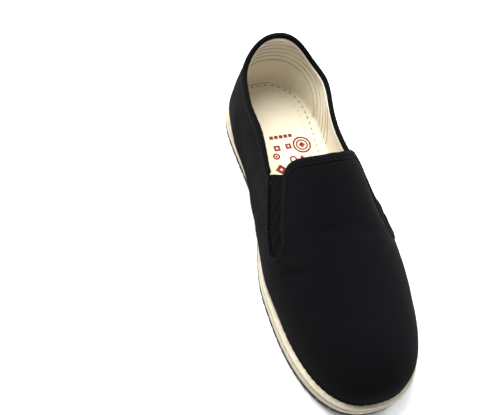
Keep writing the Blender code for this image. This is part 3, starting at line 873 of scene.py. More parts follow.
def ripples(points, waves):
    """Sum of uneven reliefs, each given as its height, size and seed."""
    return sum(height * ripple(points, size, seed) for height, size, seed in waves)


def ripple(points, size, seed):
    """Smooth uneven relief from a few crossed waves, between about -1 and 1."""
    draw = np.random.default_rng(seed)
    total = np.zeros(len(points))
    for _ in range(7):
        direction = draw.normal(size=3)
        direction /= np.linalg.norm(direction)
        pitch = size * draw.uniform(0.7, 1.6)
        total += np.sin(points @ direction * 2 * math.pi / pitch + draw.uniform(0, 6.28))
    return total / 7


def pucker_relief(sheet):
    """Gathers where the upper is sewn to the sole: bumps between the stitches."""
    seam, rise = sheet["seam"], np.clip(sheet["height"], 0, None)
    bumps = np.abs(np.sin(math.pi * seam / PUCKER_PITCH)) - 0.6
    reach_up = np.exp(-((rise / PUCKER_HEIGHT) ** 1.4))
    along = LENGTH / 2 - sheet["points"][:, 1]
    strength = 0.6 + 0.5 * ease((along / LENGTH - 0.75) / 0.15) + 0.3 * ease((0.15 - along / LENGTH) / 0.1)
    return PUCKER_DEPTH * bumps * reach_up * strength


# Materials

def feed(tree, target, inputs):
    """Links a node's inputs to sockets, or sets them to values; a tuple is a colour."""
    for key, given in inputs.items():
        if isinstance(given, bpy.types.NodeSocket):
            tree.links.new(given, target.inputs[key])
        else:
            target.inputs[key].default_value = (*given, 1) if isinstance(given, tuple) else given


def node(tree, kind, inputs=None, **settings):
    """Adds a shader node, with its settings and its inputs as values or sockets."""
    made = tree.nodes.new(kind)
    for key, setting in settings.items():
        setattr(made, key, setting)
    feed(tree, made, inputs or {})
    return made


def math_node(tree, operation, a, b=0.0, c=0.0):
    """Result of one sum on numbers or sockets."""
    return node(tree, "ShaderNodeMath", {0: a, 1: b, 2: c}, operation=operation).outputs[0]


def noise(tree, where, scale, detail=3.0, roughness=0.55):
    """Noise between 0 and 1."""
    inputs = {"Vector": where, "Scale": scale, "Detail": detail, "Roughness": roughness}
    return node(tree, "ShaderNodeTexNoise", inputs).outputs["Fac"]


def blend(tree, share, low, high):
    """Colour between two colours, each a tuple or a socket."""
    return node(tree, "ShaderNodeMix", {0: share, 6: low, 7: high}, data_type="RGBA").outputs[2]


def band(tree, value, low, high, to_low=0.0, to_high=1.0):
    """Value taken from one range to another, and held inside it."""
    inputs = {0: value, 1: low, 2: high, 3: to_low, 4: to_high}
    return node(tree, "ShaderNodeMapRange", inputs).outputs[0]


def new_material(name):
    """Material with its shader and the object's coordinates."""
    material = bpy.data.materials.new(name)
    material.use_nodes = True
    tree = material.node_tree
    shader = tree.nodes["Principled BSDF"]
    where = node(tree, "ShaderNodeTexCoord").outputs["Object"]
    return material, tree, shader, where


def bumped(tree, shader, height, distance, strength=1.0):
    """Gives a shader relief of a height between 0 and 1 times a distance in metres."""
    made = node(tree, "ShaderNodeBump", {"Height": height, "Distance": distance, "Strength": strength})
    tree.links.new(made.outputs[0], shader.inputs["Normal"])


def weave(tree, pitch, diagonal):
    """Threads of a cloth on its cloth coordinates: twill lines, or a plain over and under."""
    flat = node(tree, "ShaderNodeUVMap", uv_map="cloth").outputs[0]
    parts = node(tree, "ShaderNodeSeparateXYZ", {0: flat})
    turn = 2 * math.pi / pitch
    u = math_node(tree, "MULTIPLY", parts.outputs[0], turn)
    v = math_node(tree, "MULTIPLY", parts.outputs[1], turn)
    if diagonal:
        wave = math_node(tree, "SINE", math_node(tree, "ADD", u, v))
        cross = math_node(tree, "SINE", math_node(tree, "MULTIPLY", math_node(tree, "SUBTRACT", u, v), 1.5))
        both = math_node(tree, "MULTIPLY_ADD", cross, 0.35, wave)
        return math_node(tree, "MULTIPLY_ADD", both, 0.37, 0.5)
    both = math_node(tree, "MULTIPLY", math_node(tree, "SINE", u), math_node(tree, "SINE", v))
    return math_node(tree, "MULTIPLY_ADD", both, 0.5, 0.5)


def black_cloth(name, dark, light, pitch, sheen, weave_depth, diagonal=True):
    """Black cotton: fine threads, uneven dye, a little dust and a soft sheen."""
    material, tree, shader, where = new_material(name)
    threads = weave(tree, pitch, diagonal)
    dye = noise(tree, where, 60, 4)
    tone = math_node(tree, "MULTIPLY_ADD", threads, 0.45, math_node(tree, "MULTIPLY", dye, 0.6))
    colour = blend(tree, tone, dark, light)
    dust = band(tree, noise(tree, where, 2600, 2, 0.6), 0.70, 0.78)
    patch = band(tree, noise(tree, where, 35, 3), 0.45, 0.7, 0.05, 0.35)
    specks = math_node(tree, "MULTIPLY", dust, patch)
    colour = blend(tree, specks, colour, (0.030, 0.029, 0.029))
    feed(tree, shader, {
        "Base Color": colour, "Roughness": band(tree, dye, 0.3, 0.7, 0.82, 0.95),
        "Specular IOR Level": 0.03, "Sheen Weight": sheen, "Sheen Roughness": 0.35,
        "Sheen Tint": (0.80, 0.82, 0.90),
    })
    fuzz = noise(tree, where, 900, 3)
    bumped(tree, shader, math_node(tree, "MULTIPLY_ADD", fuzz, 0.6, threads), weave_depth)
    return material


def pale_cloth(name, base, shade, stain, pitch, weave_depth, stain_share):
    """Undyed cotton: a plain weave, faint stains and slubs."""
    material, tree, shader, where = new_material(name)
    threads = weave(tree, pitch, False)
    slub = noise(tree, where, 420, 4, 0.65)
    tone = math_node(tree, "MULTIPLY_ADD", threads, 0.35, math_node(tree, "MULTIPLY", slub, 0.6))
    colour = blend(tree, tone, shade, base)
    spots = band(tree, noise(tree, where, 45, 5, 0.6), 0.5, 0.75, 0, stain_share)
    colour = blend(tree, spots, colour, stain)
    feed(tree, shader, {
        "Base Color": colour, "Roughness": 0.92, "Specular IOR Level": 0.2,
        "Sheen Weight": 0.15, "Sheen Roughness": 0.5,
    })
    bumped(tree, shader, math_node(tree, "MULTIPLY_ADD", slub, 0.7, threads), weave_depth)
    return material


def sole_cloth(name, tone_shift):
    """Cloth strip round a sole layer: soft folds, drawn threads, grime patches, and painted shade with
    grime darkening its rims in the grooves between layers.
    """
    material, tree, shader, where = new_material(name)
    parts = node(tree, "ShaderNodeSeparateXYZ", {0: where})
    stretched = node(tree, "ShaderNodeCombineXYZ", {0: parts.outputs[0], 1: parts.outputs[1],
                                                    2: math_node(tree, "MULTIPLY", parts.outputs[2], 6.0)})
    fibre = noise(tree, stretched.outputs[0], 260, 5, 0.6)
    base = tuple(c * tone_shift for c in (0.58, 0.54, 0.43))
    shade = tuple(c * tone_shift for c in (0.43, 0.39, 0.29))
    colour = blend(tree, band(tree, fibre, 0.3, 0.65), shade, base)
    grime = band(tree, noise(tree, where, 55, 6, 0.65), 0.56, 0.76, 0, 0.55)
    colour = blend(tree, grime, colour, (0.33, 0.29, 0.21))
    flecks = band(tree, noise(tree, where, 520, 4, 0.7), 0.55, 0.68, 0, 0.55)
    colour = blend(tree, flecks, colour, (0.40, 0.36, 0.27))
    # Painted shade and grime: darker where the cloth map's second coordinate nears -1 or 1, at the rims of
    # the layer's round, in the grooves between layers
    flat = node(tree, "ShaderNodeUVMap", uv_map="cloth").outputs[0]
    level = math_node(tree, "ABSOLUTE", node(tree, "ShaderNodeSeparateXYZ", {0: flat}).outputs[1])
    colour = blend(tree, band(tree, level, 0.70, 0.98, 0, 0.75), colour, (0.14, 0.12, 0.085))
    feed(tree, shader, {"Base Color": colour, "Roughness": 0.9, "Specular IOR Level": 0.2})
    fuzz = noise(tree, where, 1500, 3)
    bumped(tree, shader, math_node(tree, "MULTIPLY_ADD", fuzz, 0.5, fibre), 0.25 * MM)
    return material


def thread(name, colour, specular):
    """Twisted sewing thread."""
    material, tree, shader, where = new_material(name)
    twist = noise(tree, where, 2200, 2)
    tone = blend(tree, twist, tuple(c * 0.6 for c in colour), colour)
    feed(tree, shader, {"Base Color": tone, "Roughness": 0.6, "Specular IOR Level": specular})
    bumped(tree, shader, twist, 0.1 * MM)
    return material


def rubber(name):
    """Black moulded rubber with a fine tread of small lozenges and rubbed high spots."""
    material, tree, shader, where = new_material(name)
    parts = node(tree, "ShaderNodeSeparateXYZ", {0: where})
    turn = 2 * math.pi / (2.4 * MM)
    a = math_node(tree, "ADD", parts.outputs[0], parts.outputs[1])
    b = math_node(tree, "SUBTRACT", parts.outputs[0], parts.outputs[1])
    waves = math_node(tree, "MULTIPLY", math_node(tree, "SINE", math_node(tree, "MULTIPLY", a, turn)),
                      math_node(tree, "SINE", math_node(tree, "MULTIPLY", b, turn)))
    facing = node(tree, "ShaderNodeNewGeometry").outputs["Normal"]
    down = node(tree, "ShaderNodeSeparateXYZ", {0: facing}).outputs[2]
    under = band(tree, down, -0.6, -0.9)
    tread = math_node(tree, "MULTIPLY", band(tree, waves, -0.1, 0.15), under)
    grain = noise(tree, where, 700, 4)
    colour = blend(tree, grain, (0.006, 0.006, 0.006), (0.015, 0.0145, 0.014))
    worn = band(tree, grain, 0.3, 0.7, 0.55, 0.8)
    feed(tree, shader, {"Base Color": colour, "Roughness": worn, "Specular IOR Level": 0.2})
    bumped(tree, shader, math_node(tree, "MULTIPLY_ADD", grain, 0.12, tread), 0.5 * MM)
    return material


def ink(name):
    """Dark red print on cloth, thin in places so that the threads show through."""
    material, tree, shader, where = new_material(name)
    thin = band(tree, noise(tree, where, 1300, 4, 0.7), 0.54, 0.68, 0, 0.6)
    colour = blend(tree, thin, (0.17, 0.007, 0.012), (0.50, 0.28, 0.22))
    feed(tree, shader, {"Base Color": colour, "Roughness": 0.85, "Specular IOR Level": 0.2})
    return material


BLACK = black_cloth("black_twill", (0.0016, 0.0016, 0.0020), (0.0050, 0.0050, 0.0061),
                    pitch=0.9 * MM, sheen=0.012, weave_depth=0.12 * MM)
TAPE = black_cloth("black_tape", (0.0018, 0.0018, 0.0020), (0.0056, 0.0055, 0.0062),
                   pitch=0.8 * MM, sheen=0.015, weave_depth=0.14 * MM)
ELASTIC = black_cloth("black_elastic", (0.0015, 0.0014, 0.0014), (0.0045, 0.0042, 0.0043),
                      pitch=0.7 * MM, sheen=0.008, weave_depth=0.12 * MM, diagonal=False)
LINING = pale_cloth("lining_canvas", (0.80, 0.735, 0.60), (0.68, 0.615, 0.48), (0.40, 0.35, 0.24),
                    pitch=1.1 * MM, weave_depth=0.12 * MM, stain_share=0.35)
COUNTER = pale_cloth("counter_canvas", (0.74, 0.675, 0.535), (0.62, 0.56, 0.43), (0.38, 0.32, 0.21),
                     pitch=1.1 * MM, weave_depth=0.12 * MM, stain_share=0.35)
SOCK = pale_cloth("sock_canvas", (0.72, 0.665, 0.535), (0.645, 0.59, 0.46), (0.56, 0.49, 0.365),
                  pitch=1.0 * MM, weave_depth=0.10 * MM, stain_share=0.18)
PIPING = pale_cloth("piping_tape", (0.78, 0.74, 0.65), (0.68, 0.64, 0.54), (0.54, 0.49, 0.39),
                    pitch=0.9 * MM, weave_depth=0.08 * MM, stain_share=0.1)
BLACK_THREAD = thread("black_thread", (0.009, 0.009, 0.010), 0.10)
# Dark brown thread of the insole's edge seam; its dark colour also paints the shade in the stitch holes
BROWN_THREAD_HOLE_SHADE = thread("brown_thread_hole_shade", (0.13, 0.10, 0.06), 0.2)
PALE_THREAD = thread("pale_thread", (0.50, 0.45, 0.33), 0.2)
LINING_THREAD = thread("lining_thread", (0.36, 0.31, 0.21), 0.2)
RUBBER = rubber("black_rubber_tread")
INK = ink("red_ink")


# Stitches and strips

def capsules(centres, along, up, length, radius, sides=6):
    """Small round-ended rods, one for each centre, as one mesh of quads."""
    along = unit(along)
    across = unit(np.cross(up, along))
    up = np.cross(along, across)
    rings = ((-0.5, 0.0), (-0.44, 0.6), (-0.25, 1.0), (0.25, 1.0), (0.44, 0.6), (0.5, 0.0))
    turn = 2 * math.pi * np.arange(sides) / sides
    points = []
    for share, wide in rings:
        offset = across[:, None] * np.cos(turn)[:, None] + up[:, None] * np.sin(turn)[:, None]
        arch = up * radius * 0.8 * (1 - (2 * share) ** 2)
        points.append((centres + along * length * share + arch)[:, None] + offset * radius * wide)
    points = np.stack(points, 1)
    index = np.arange(points[..., 0].size).reshape(points.shape[:3])
    index[:, 0] = index[:, 0, :1]
    index[:, -1] = index[:, -1, :1]
    pairs = zip(range(len(rings) - 1), range(1, len(rings)))
    faces = np.concatenate([loop_faces(index[:, low], index[:, high]) for low, high in pairs])
    used, packed = np.unique(faces, return_inverse=True)
    return points.reshape(-1, 3)[used], packed.reshape(faces.shape)


def spread(line, pitch, start=0.5):
    """Points along a line at a pitch, with the line's direction at each."""
    run = run_lengths(line)
    at = np.arange(start * pitch, run[-1], pitch)
    ahead, behind = [sampled(at + shift, run, line) for shift in (pitch / 4, -pitch / 4)]
    return sampled(at, run, line), ahead - behind


def join_parts(parts):
    """Several lots of points and faces as one."""
    points, faces, start = [], [], 0
    for some_points, some_faces in parts:
        points.append(some_points)
        faces.append(some_faces + start)
        start += len(some_points)
    return np.concatenate(points), np.concatenate(faces)


def offset_line(line, distance):
    """A plan line moved sideways, away from the opening that it runs round."""
    run = np.gradient(line, axis=0)
    size = np.maximum(np.linalg.norm(run, axis=1, keepdims=True), 1e-12)
    sideways = np.stack([run[:, 1], -run[:, 0]], -1) / size
    for _ in range(4):
        sideways[1:-1] = (sideways[:-2] + sideways[1:-1] + sideways[2:]) / 3
    return line + unit(sideways) * np.reshape(distance, (-1, 1))


def tube(path, up, radii, sides, shape):
    """Sweep of an oval along a path; up gives the direction of the first radius."""
    run = unit(np.gradient(path, axis=0))
    across = unit(np.cross(run, up))
    lift_up = np.cross(across, run)
    turn = 2 * math.pi * np.arange(sides) / sides
    high = lift_up[:, None] * (radii[0] * np.sin(turn))[None, :, None]
    wide = across[:, None] * (radii[1] * np.cos(turn))[None, :, None]
    points = path[:, None] + (high + wide) * shape[..., None]
    index = np.arange(len(path) * sides).reshape(len(path), sides)
    faces = loop_faces(index[:-1], index[1:])
    u = np.repeat(run_lengths(path)[:, None], sides, 1)
    v = np.repeat((turn * (radii[0] + radii[1]) / 2)[None], len(path), 0)
    spots = np.stack([u, v], -1).reshape(-1, 2)
    near = np.arange(sides // 2 - 1)
    far = sides - 1 - near
    ends = [np.stack([row[near], row[near + 1], row[far - 1], row[far]], -1) for row in index[[0, -1]]]
    faces = np.concatenate([faces, ends[0][:, ::-1], ends[1]])
    return points.reshape(-1, 3), *outward_faces(points.reshape(-1, 3), faces, spots[faces])


def outward_faces(points, faces, maps=None):
    """Turns a closed mesh's faces round if they face inwards."""
    p = points[faces]
    volume = np.einsum("ij,ij->i", p[:, 0], np.cross(p[:, 1], p[:, 2]))
    volume += np.einsum("ij,ij->i", p[:, 0], np.cross(p[:, 2], p[:, 3]))
    if volume.sum() < 0:
        faces = faces[:, ::-1]
        maps = maps[:, ::-1] if maps is not None else None
    return faces, maps


# The pieces

def make_upper():
    """Black cloth of the quarters and the vamp, with its hems, gathers and creases."""
    sheet = upper_grid(1.0)
    distance, width = opening_marks(sheet)
    hem = HEM_RISE * ease((width - distance) / HEM_EDGE + 0.5)
    hem *= 0.75 + 0.25 * np.sin(math.pi * np.clip(distance / width, 0, 1))
    seam = -SEAM_DEPTH * np.exp(-(((distance - width) / SEAM_WIDTH) ** 2))
    crease = crease_relief(sheet["cloth"]) * foot_fade(sheet)
    relief = hem + seam + crease + pucker_relief(sheet)
    relief += ripples(sheet["points"], CLOTH_WAVES)
    across, behind = sheet["points"][:, 0], sheet["points"][:, 1]
    relief -= BACK_SEAM_DEPTH * np.exp(-((across / BACK_SEAM_WIDTH) ** 2)) * (behind > 0.1)
    outer = relief - rounded(distance, EDGE_RADIUS)
    inner = crease - CLOTH + 0.35 * rounded(distance, EDGE_RADIUS)
    inner = np.minimum(inner, outer - LEAST_CLOTH)
    points, faces, maps = shell(*sheet_parts(sheet), outer, inner)
    return make_piece("upper_cloth", points, faces, BLACK, "cotton", maps, ("upper",), sharp=60)


def make_lining():
    """Cream lining inside the upper, a little larger in its openings."""
    sheet = upper_grid(0.72, LINING_MARGIN)
    shift = crease_relief(sheet["cloth"]) * foot_fade(sheet)
    outer = shift - LINING_DEPTHS[0]
    inner = shift - LINING_DEPTHS[1] - ripples(sheet["points"], LINING_WAVES)
    inner = np.minimum(inner, outer - LEAST_LINING)
    points, faces, maps = shell(*sheet_parts(sheet), outer, inner)
    return make_piece("lining", points, faces, LINING, "sock", maps, sharp=60)


def hem_stitches():
    """Rows of thread along the opening's hems, and the double row round each gore."""
    parts = []
    for side in SIDES:
        line, widths = opening_edge(side)
        turned = line * np.array([1, side])
        for share in (0.24, 0.86):
            moved = offset_line(turned, widths * share) * np.array([1, side])
            moved = moved[moved[:, 0] > LENGTH * (NOTCH_STATION + 0.004)]
            moved = moved[np.abs(moved[:, 1]) > 0.5 * MM]
            flat, run = spread(moved, STITCH_PITCH)
            point, normal = on_cloth(side, flat)
            ahead, _ = on_cloth(side, flat + run * 0.2)
            rise = crease_relief(flat)[:, None] + STITCH_RISE
            point, ahead = point + normal * rise, ahead + normal * rise
            parts.append(capsules(point, ahead - point, normal, STITCH_LENGTH, STITCH_RADIUS))
    points, faces = join_parts(parts)
    return make_piece("hem_stitches", points, faces, BLACK_THREAD, "cotton")


def make_gore(side, name):
    """Ribbed elastic in a gore's slot, a little slack between its seams."""
    steps, strips = GORE_STEPS
    share = np.sin(math.pi / 2 * np.linspace(0, 1, steps))[:, None]
    half = GORE_HALF_WIDTH + GORE_REACH
    across = np.linspace(-1, 1, strips)[None]
    start = NOTCH_STATION + (TAB_STATION - NOTCH_STATION) * (across + 1) / 2 + CLEARANCE / LENGTH
    tip = GORE_TIP * (1 + GORE_REACH / (GORE_TIP * LENGTH))
    end = SLOT_STATION + tip * np.sqrt(np.clip(1 - across**2, 0.0004, 1))
    station = start + (end - start) * share
    cuts = side_cuts(side, station)
    angle = gore_angle(cuts, station, across * half / GORE_HALF_WIDTH)
    points = skin(cuts, angle)
    wide = across * half * smooth(GORE_LINE, 2, station)
    ribs = RIB_DEPTH * np.cos(2 * math.pi * wide / RIB_PITCH)
    phase = 2 * math.pi * (station - NOTCH_STATION) * LENGTH / SLACK_PITCH[0] + wide / SLACK_PITCH[1]
    slack = GORE_SLACK * np.sin(phase)
    sag = -GORE_SAG + GORE_CROWN * (1 - across**2)
    end_round = rounded((station - start) * LENGTH, GORE_EDGE)
    outer = ribs + slack * (1 - across**2) + sag - end_round
    faces = grid_faces(np.arange(steps * strips).reshape(steps, strips))
    if side < 0:
        faces = faces[:, ::-1]
    spots = np.stack([LENGTH * station, side * wide], -1).reshape(-1, 2)
    flat = points.reshape(-1, 3)
    normals = face_normals(flat, faces)
    shift = crease_relief(to_cloth(side, station.ravel(), angle.ravel()))
    outer = outer.ravel() + shift
    inner = np.minimum(shift - GORE_BACK + 0.4 * end_round.ravel(), outer - LEAST_ELASTIC)
    made = shell(flat, faces, spots[faces], normals, outer, inner)
    return make_piece(name + "_elastic", made[0], made[1], ELASTIC, "elastic", made[2], (name,), sharp=60)


def outward(cuts):
    """Level directions of the sections, from the spine outwards, in the world."""
    return np.stack([np.sin(cuts.bearing), -np.cos(cuts.bearing), 0 * cuts.bearing], -1)


def collar_path(drop, inside):
    """Points and up directions along the quarters' top edge, from notch to notch."""
    heel = SPINE_STATIONS[0]
    fan = math.pi * (1 - np.linspace(0, 1, 90) / 2)
    stations = np.linspace(heel, NOTCH_STATION - CLEARANCE / LENGTH, 110)[1:]
    notch = np.array([NOTCH_STATION])
    halves = []
    for side in SIDES:
        found = []
        for cuts in (fan_cuts(side, heel, fan), side_cuts(side, stations)):
            top = collar_angle(cuts)
            own = cuts.rim[:, 1] / LENGTH
            corner = gore_angle(side_cuts(side, notch), notch, -1)
            meet = collar_angle(side_cuts(side, notch))
            top = top + (corner - meet) * ease((own - NOTCH_STATION + 0.03) / 0.03)
            angle = top - drop / rate(cuts, top - 0.02)
            up = unit(skin(cuts, angle + 0.01) - skin(cuts, angle - 0.01))
            flat = outward(cuts)
            out = unit(flat * up[:, 2:] - np.array([0, 0, 1.0]) * (up * flat).sum(1, keepdims=True))
            found.append((skin(cuts, angle) - out * inside, up, out))
        halves.append([np.concatenate(parts) for parts in zip(*found)])
    return [np.concatenate([halves[1][k][:0:-1], halves[0][k]]) for k in range(3)]


def make_binding():
    """Folded tape over the quarters' top edge, pinched by its stitches."""
    steps, sides = BINDING_STEPS
    path, up = resampled(collar_path(BINDING_HEIGHT / 2, WALL / 2)[:2], steps)
    run = run_lengths(path)
    turn = 2 * math.pi * np.arange(sides) / sides
    pinch = 0.5 + 0.5 * np.cos(2 * math.pi * run / STITCH_PITCH)
    fold = np.sin(2 * math.pi * run / FOLD_PITCH[0] + 2 * np.sin(run / FOLD_PITCH[1]))
    lower = np.clip(-np.sin(turn), 0, 1)[None]
    shape = 1 - 0.10 * pinch[:, None] * lower + 0.022 * fold[:, None] * np.cos(turn - 0.6)[None]
    ends = np.minimum(run, run[-1] - run)
    shape *= np.sqrt(1 - np.clip(1 - ends / BINDING_END, 0, 0.92) ** 2)[:, None]
    points, faces, maps = tube(path, up, (BINDING_HEIGHT / 2, BINDING_WIDTH / 2), sides, shape)
    return make_piece("binding_tape", points, faces, TAPE, "binding", maps, ("collar_binding",), sharp=70)


def collar_stitches():
    """Thread bumps along the binding's lower edge, outside and inside."""
    parts = []
    for inside, facing in COLLAR_STITCH_DEPTHS:
        path, _, out = collar_path(BINDING_HEIGHT - COLLAR_STITCH_RISE, inside)
        flat, run = spread(np.concatenate([path, out], 1), STITCH_PITCH)
        parts.append(capsules(flat[:, :3], run[:, :3], flat[:, 3:] * facing, STITCH_LENGTH, STITCH_RADIUS))
    points, faces = join_parts(parts)
    return make_piece("collar_stitches", points, faces, BLACK_THREAD, "binding")


def make_piping():
    """Cream piping just inside the binding."""
    steps, sides = PIPING_STEPS
    lines = resampled(collar_path(PIPING_DROP, PIPING_DEPTH)[:2], steps)
    path, up = [line[PIPING_TRIM:-PIPING_TRIM] for line in lines]
    run = run_lengths(path)
    wave = 1 + 0.07 * np.sin(2 * math.pi * run / STITCH_PITCH)
    shape = np.repeat(wave[:, None], sides, 1)
    points, faces, maps = tube(path, up, (1.5 * PIPING_RADIUS, PIPING_RADIUS), sides, shape)
    return make_piece("collar_piping", points, faces, PIPING, "sock", maps, sharp=70)


def ring_points(inset, count):
    """Plan points round the sole at an inset, evenly spread, with their run length."""
    line = np.stack(outline(even(inset)), -1)
    line = np.concatenate([line, line[:1]])
    run = run_lengths(line)
    at = np.linspace(0, run[-1], count, endpoint=False)
    return sampled(at, run, line), at


def plan_normals(line):
    """Unit normals of a closed plan line, pointing away from its middle."""
    run = np.roll(line, -1, 0) - np.roll(line, 1, 0)
    normal = unit(np.stack([-run[:, 1], run[:, 0]], -1))
    outwards = ((line - line.mean(0)) * normal).sum(1).mean() > 0
    return normal if outwards else -normal


def make_layer(name, bottom, thickness, inset, bulge, top, seed, shade):
    """One cloth-wrapped layer of the sole: a round edge, and flat faces above and below."""
    count = LAYER_STEPS
    line, run = ring_points(inset + bulge, count)
    normal = plan_normals(line)
    turns = np.linspace(-math.pi / 2, math.pi / 2, 13)
    points = []
    middle = bottom + thickness / 2
    for turn in turns:
        swell = bulge * max(math.cos(turn), 0) ** 0.75
        height = middle + thickness / 2 * math.sin(turn)
        plan = line + normal * swell
        spot = place(plan, np.full(count, height))
        wobble = sum(high * ripple(spot * np.array([1, 1, stretch]), size, seed + k)
                     for k, (high, stretch, size) in enumerate(LAYER_WAVES))
        fade = max(math.cos(turn), 0)
        spot[:, :2] += normal * (1, -1) * ((wobble - LAYER_SINK) * fade)[:, None]
        points.append(spot)
    if top:
        pulls = 0.12 * ripple(np.stack([line[:, 0], line[:, 1], run], -1), 14 * MM, 51)
        scallop = np.abs(np.sin(math.pi * (run / PUCKER_PITCH + pulls))) ** 0.6
        for back, rise, pull in TOP_ROLL:
            plan = line - normal * back * MM
            height = bottom + thickness + (rise - (1 - scallop) * pull * 0.5) * MM
            points.append(place(plan, height))
    within = line - normal * LAYER_RIM
    inner = place(within, np.full(count, bottom + thickness - (TOP_LAYER_DISH if top else 0)))
    points = np.stack([place(within, np.full(count, bottom))] + points + [inner])
    levels = len(points)
    index = np.arange(levels * count).reshape(levels, count)
    flat = points.reshape(-1, 3)
    faces = loop_faces(index, np.roll(index, -1, 0))
    # The map's second coordinate runs from -1 at the bottom to 1 at the top of the round, and near -1 and 1
    # the material paints shade and grime into the grooves between layers. On the top layer the upper half
    # of the round stays pale, and the roll darkens towards the upper as painted shade where sole and upper
    # meet
    heights = np.concatenate([[-1.0], np.sin(turns), np.ones(levels - len(turns) - 1)])
    if top:
        heights = np.where(heights > 0, 0.3 * heights, heights)
        heights[-5:] = (0.3, 0.4, 0.72, 0.95, 1.0)
    spots = np.stack(np.broadcast_arrays(run, heights[:, None]), -1).reshape(-1, 2)
    faces, _ = outward_faces(flat, faces)
    material = sole_cloth(name + "_canvas", shade)
    return make_piece(name + "_cloth", flat, faces, material, "sole_cloth", spots[faces], (name,), sharp=70)


def insole_top(across, along):
    """Height of the insole's upper face over the sole's underside at plan points."""
    soft = ripples(np.stack([across, along, 0 * along], -1), INSOLE_WAVES)
    return FEATHER_HEIGHT + INSOLE_THICKNESS - INSOLE_SINK + soft


def insole_loop(count, back):
    """Closed plan line on the insole at a distance in from its edge, and its run length."""
    line, run = ring_points(FEATHER_INSET + WALL + CLEARANCE, count)
    normal = plan_normals(line)
    station = np.clip(line[:, 1] / LENGTH, 0, 1)
    spare = np.clip(0.62 * WAIST_BULGE * smooth(BULGE, 1, station) - INSOLE_SINK, 0, None)
    spare = spare * (1 - 0.5 * ease((0.075 - station) / 0.04))
    toward = math.exp(-((back / SPARE_REACH) ** 2))
    return line + normal * (spare * toward - back)[:, None], run


def make_insole():
    """Cream sock: a soft cloth top that meets the wall, and a pressed seam near its edge."""
    count = INSOLE_STEPS
    backs = np.array([0.0, 0.15, 0.5, 1.0, 1.6, 2.1, 2.7, 3.4, 4.2, 5.2, 6.5, 8.5, 11, 14]) * MM
    line, run = ring_points(FEATHER_INSET + WALL + CLEARANCE, count)
    centre_along = np.clip(line[:, 1], LENGTH * 0.12, LENGTH * 0.86)
    centre = np.stack([lean(centre_along / LENGTH), centre_along], -1)
    edge = insole_loop(count, 0.0)[0]
    inset, low, radius = INSOLE_EDGE
    layers = [place(line - plan_normals(line) * inset, np.full(count, FEATHER_HEIGHT)),
              place(line + (edge - line) * 0.25, np.full(count, FEATHER_HEIGHT + low))]
    for back in backs:
        plan = insole_loop(count, back)[0]
        height = insole_top(*plan.T) - rounded(np.full(count, back), radius) * 0.6
        seam = INSOLE_DENT[0] * math.exp(-(((back - INSOLE_SEAM) / INSOLE_DENT[1]) ** 2))
        seam = seam * (0.55 + 0.45 * np.cos(2 * math.pi * run / INSOLE_STITCH_PITCH))
        layers.append(place(plan, height - seam))
        edge = plan
    for share in np.linspace(0.12, 1, 12):
        plan = edge + (centre - edge) * share
        layers.append(place(plan, insole_top(*plan.T)))
    points = np.stack(layers)
    levels = len(points)
    index = np.arange(levels * count).reshape(levels, count)
    faces = [loop_faces(index[:-1], index[1:])]
    half = np.arange(count // 2)
    for row, step in ((index[0], -1), (index[-1], 1)):
        rungs = np.stack([row[half], row[half + 1], row[(-half - 1) % count], row[-half % count]], -1)
        faces.append(rungs[:, ::step])
    flat = points.reshape(-1, 3)
    faces, _ = outward_faces(flat, np.concatenate(faces))
    spots = flat[:, :2]
    return make_piece("insole_sock", flat, faces, SOCK, "sock", spots[faces], ("insole",), sharp=70)


def insole_stitches(name, back, length, radius, material, rise):
    """Row of thread round the insole at a distance in from its edge."""
    line, _ = insole_loop(900, back)
    line = np.concatenate([line, line[:1]])
    spots, run = spread(line, INSOLE_STITCH_PITCH)
    world, ahead = [place(plan, insole_top(*plan.T) + rise) for plan in (spots, spots + run * 0.2)]
    up = np.repeat(np.array([[0, 0, 1.0]]), len(spots), 0)
    points, faces = capsules(world, ahead - world, up, length, radius)
    return make_piece(name, points, faces, material, "sock")


def arch_height(along, top, reach_out):
    """Height of an arch over the heel that comes down to the insole at a distance forward."""
    return top * np.sqrt(np.clip(1 - (along / reach_out) ** 2, 0, 1)) - ARCH_SINK


def heel_lines(angles):
    """Sections round the heel from station .3 on side -1 to side 1, and their skin points."""
    heel = SPINE_STATIONS[0]
    fan = math.pi * (1 - np.linspace(0, 1, 80) / 2)
    stations = np.linspace(heel, 0.30, 60)[1:]
    lines, outs = [], []
    for side in (-1, 1):
        found = []
        for cuts in (fan_cuts(side, heel, fan), side_cuts(side, stations)):
            line = skin(column(cuts), angles[None])
            low = tuck(column(cuts), np.linspace(0, 1, 6)[None, :-1])
            found.append((np.concatenate([low, line], 1), outward(cuts)))
        line, flat = [np.concatenate(parts) for parts in zip(*found)]
        lines.append(line if side > 0 else line[:0:-1])
        outs.append(flat if side > 0 else flat[:0:-1])
    line, flat = np.concatenate(lines), np.concatenate(outs)
    up = unit(np.gradient(line, axis=1))
    out = unit(flat[:, None] - up * (up * flat[:, None]).sum(-1, keepdims=True))
    along = LENGTH / 2 - line[..., 1]
    height = line[..., 2] - lift(along) - FEATHER_HEIGHT
    return line, out, along, height


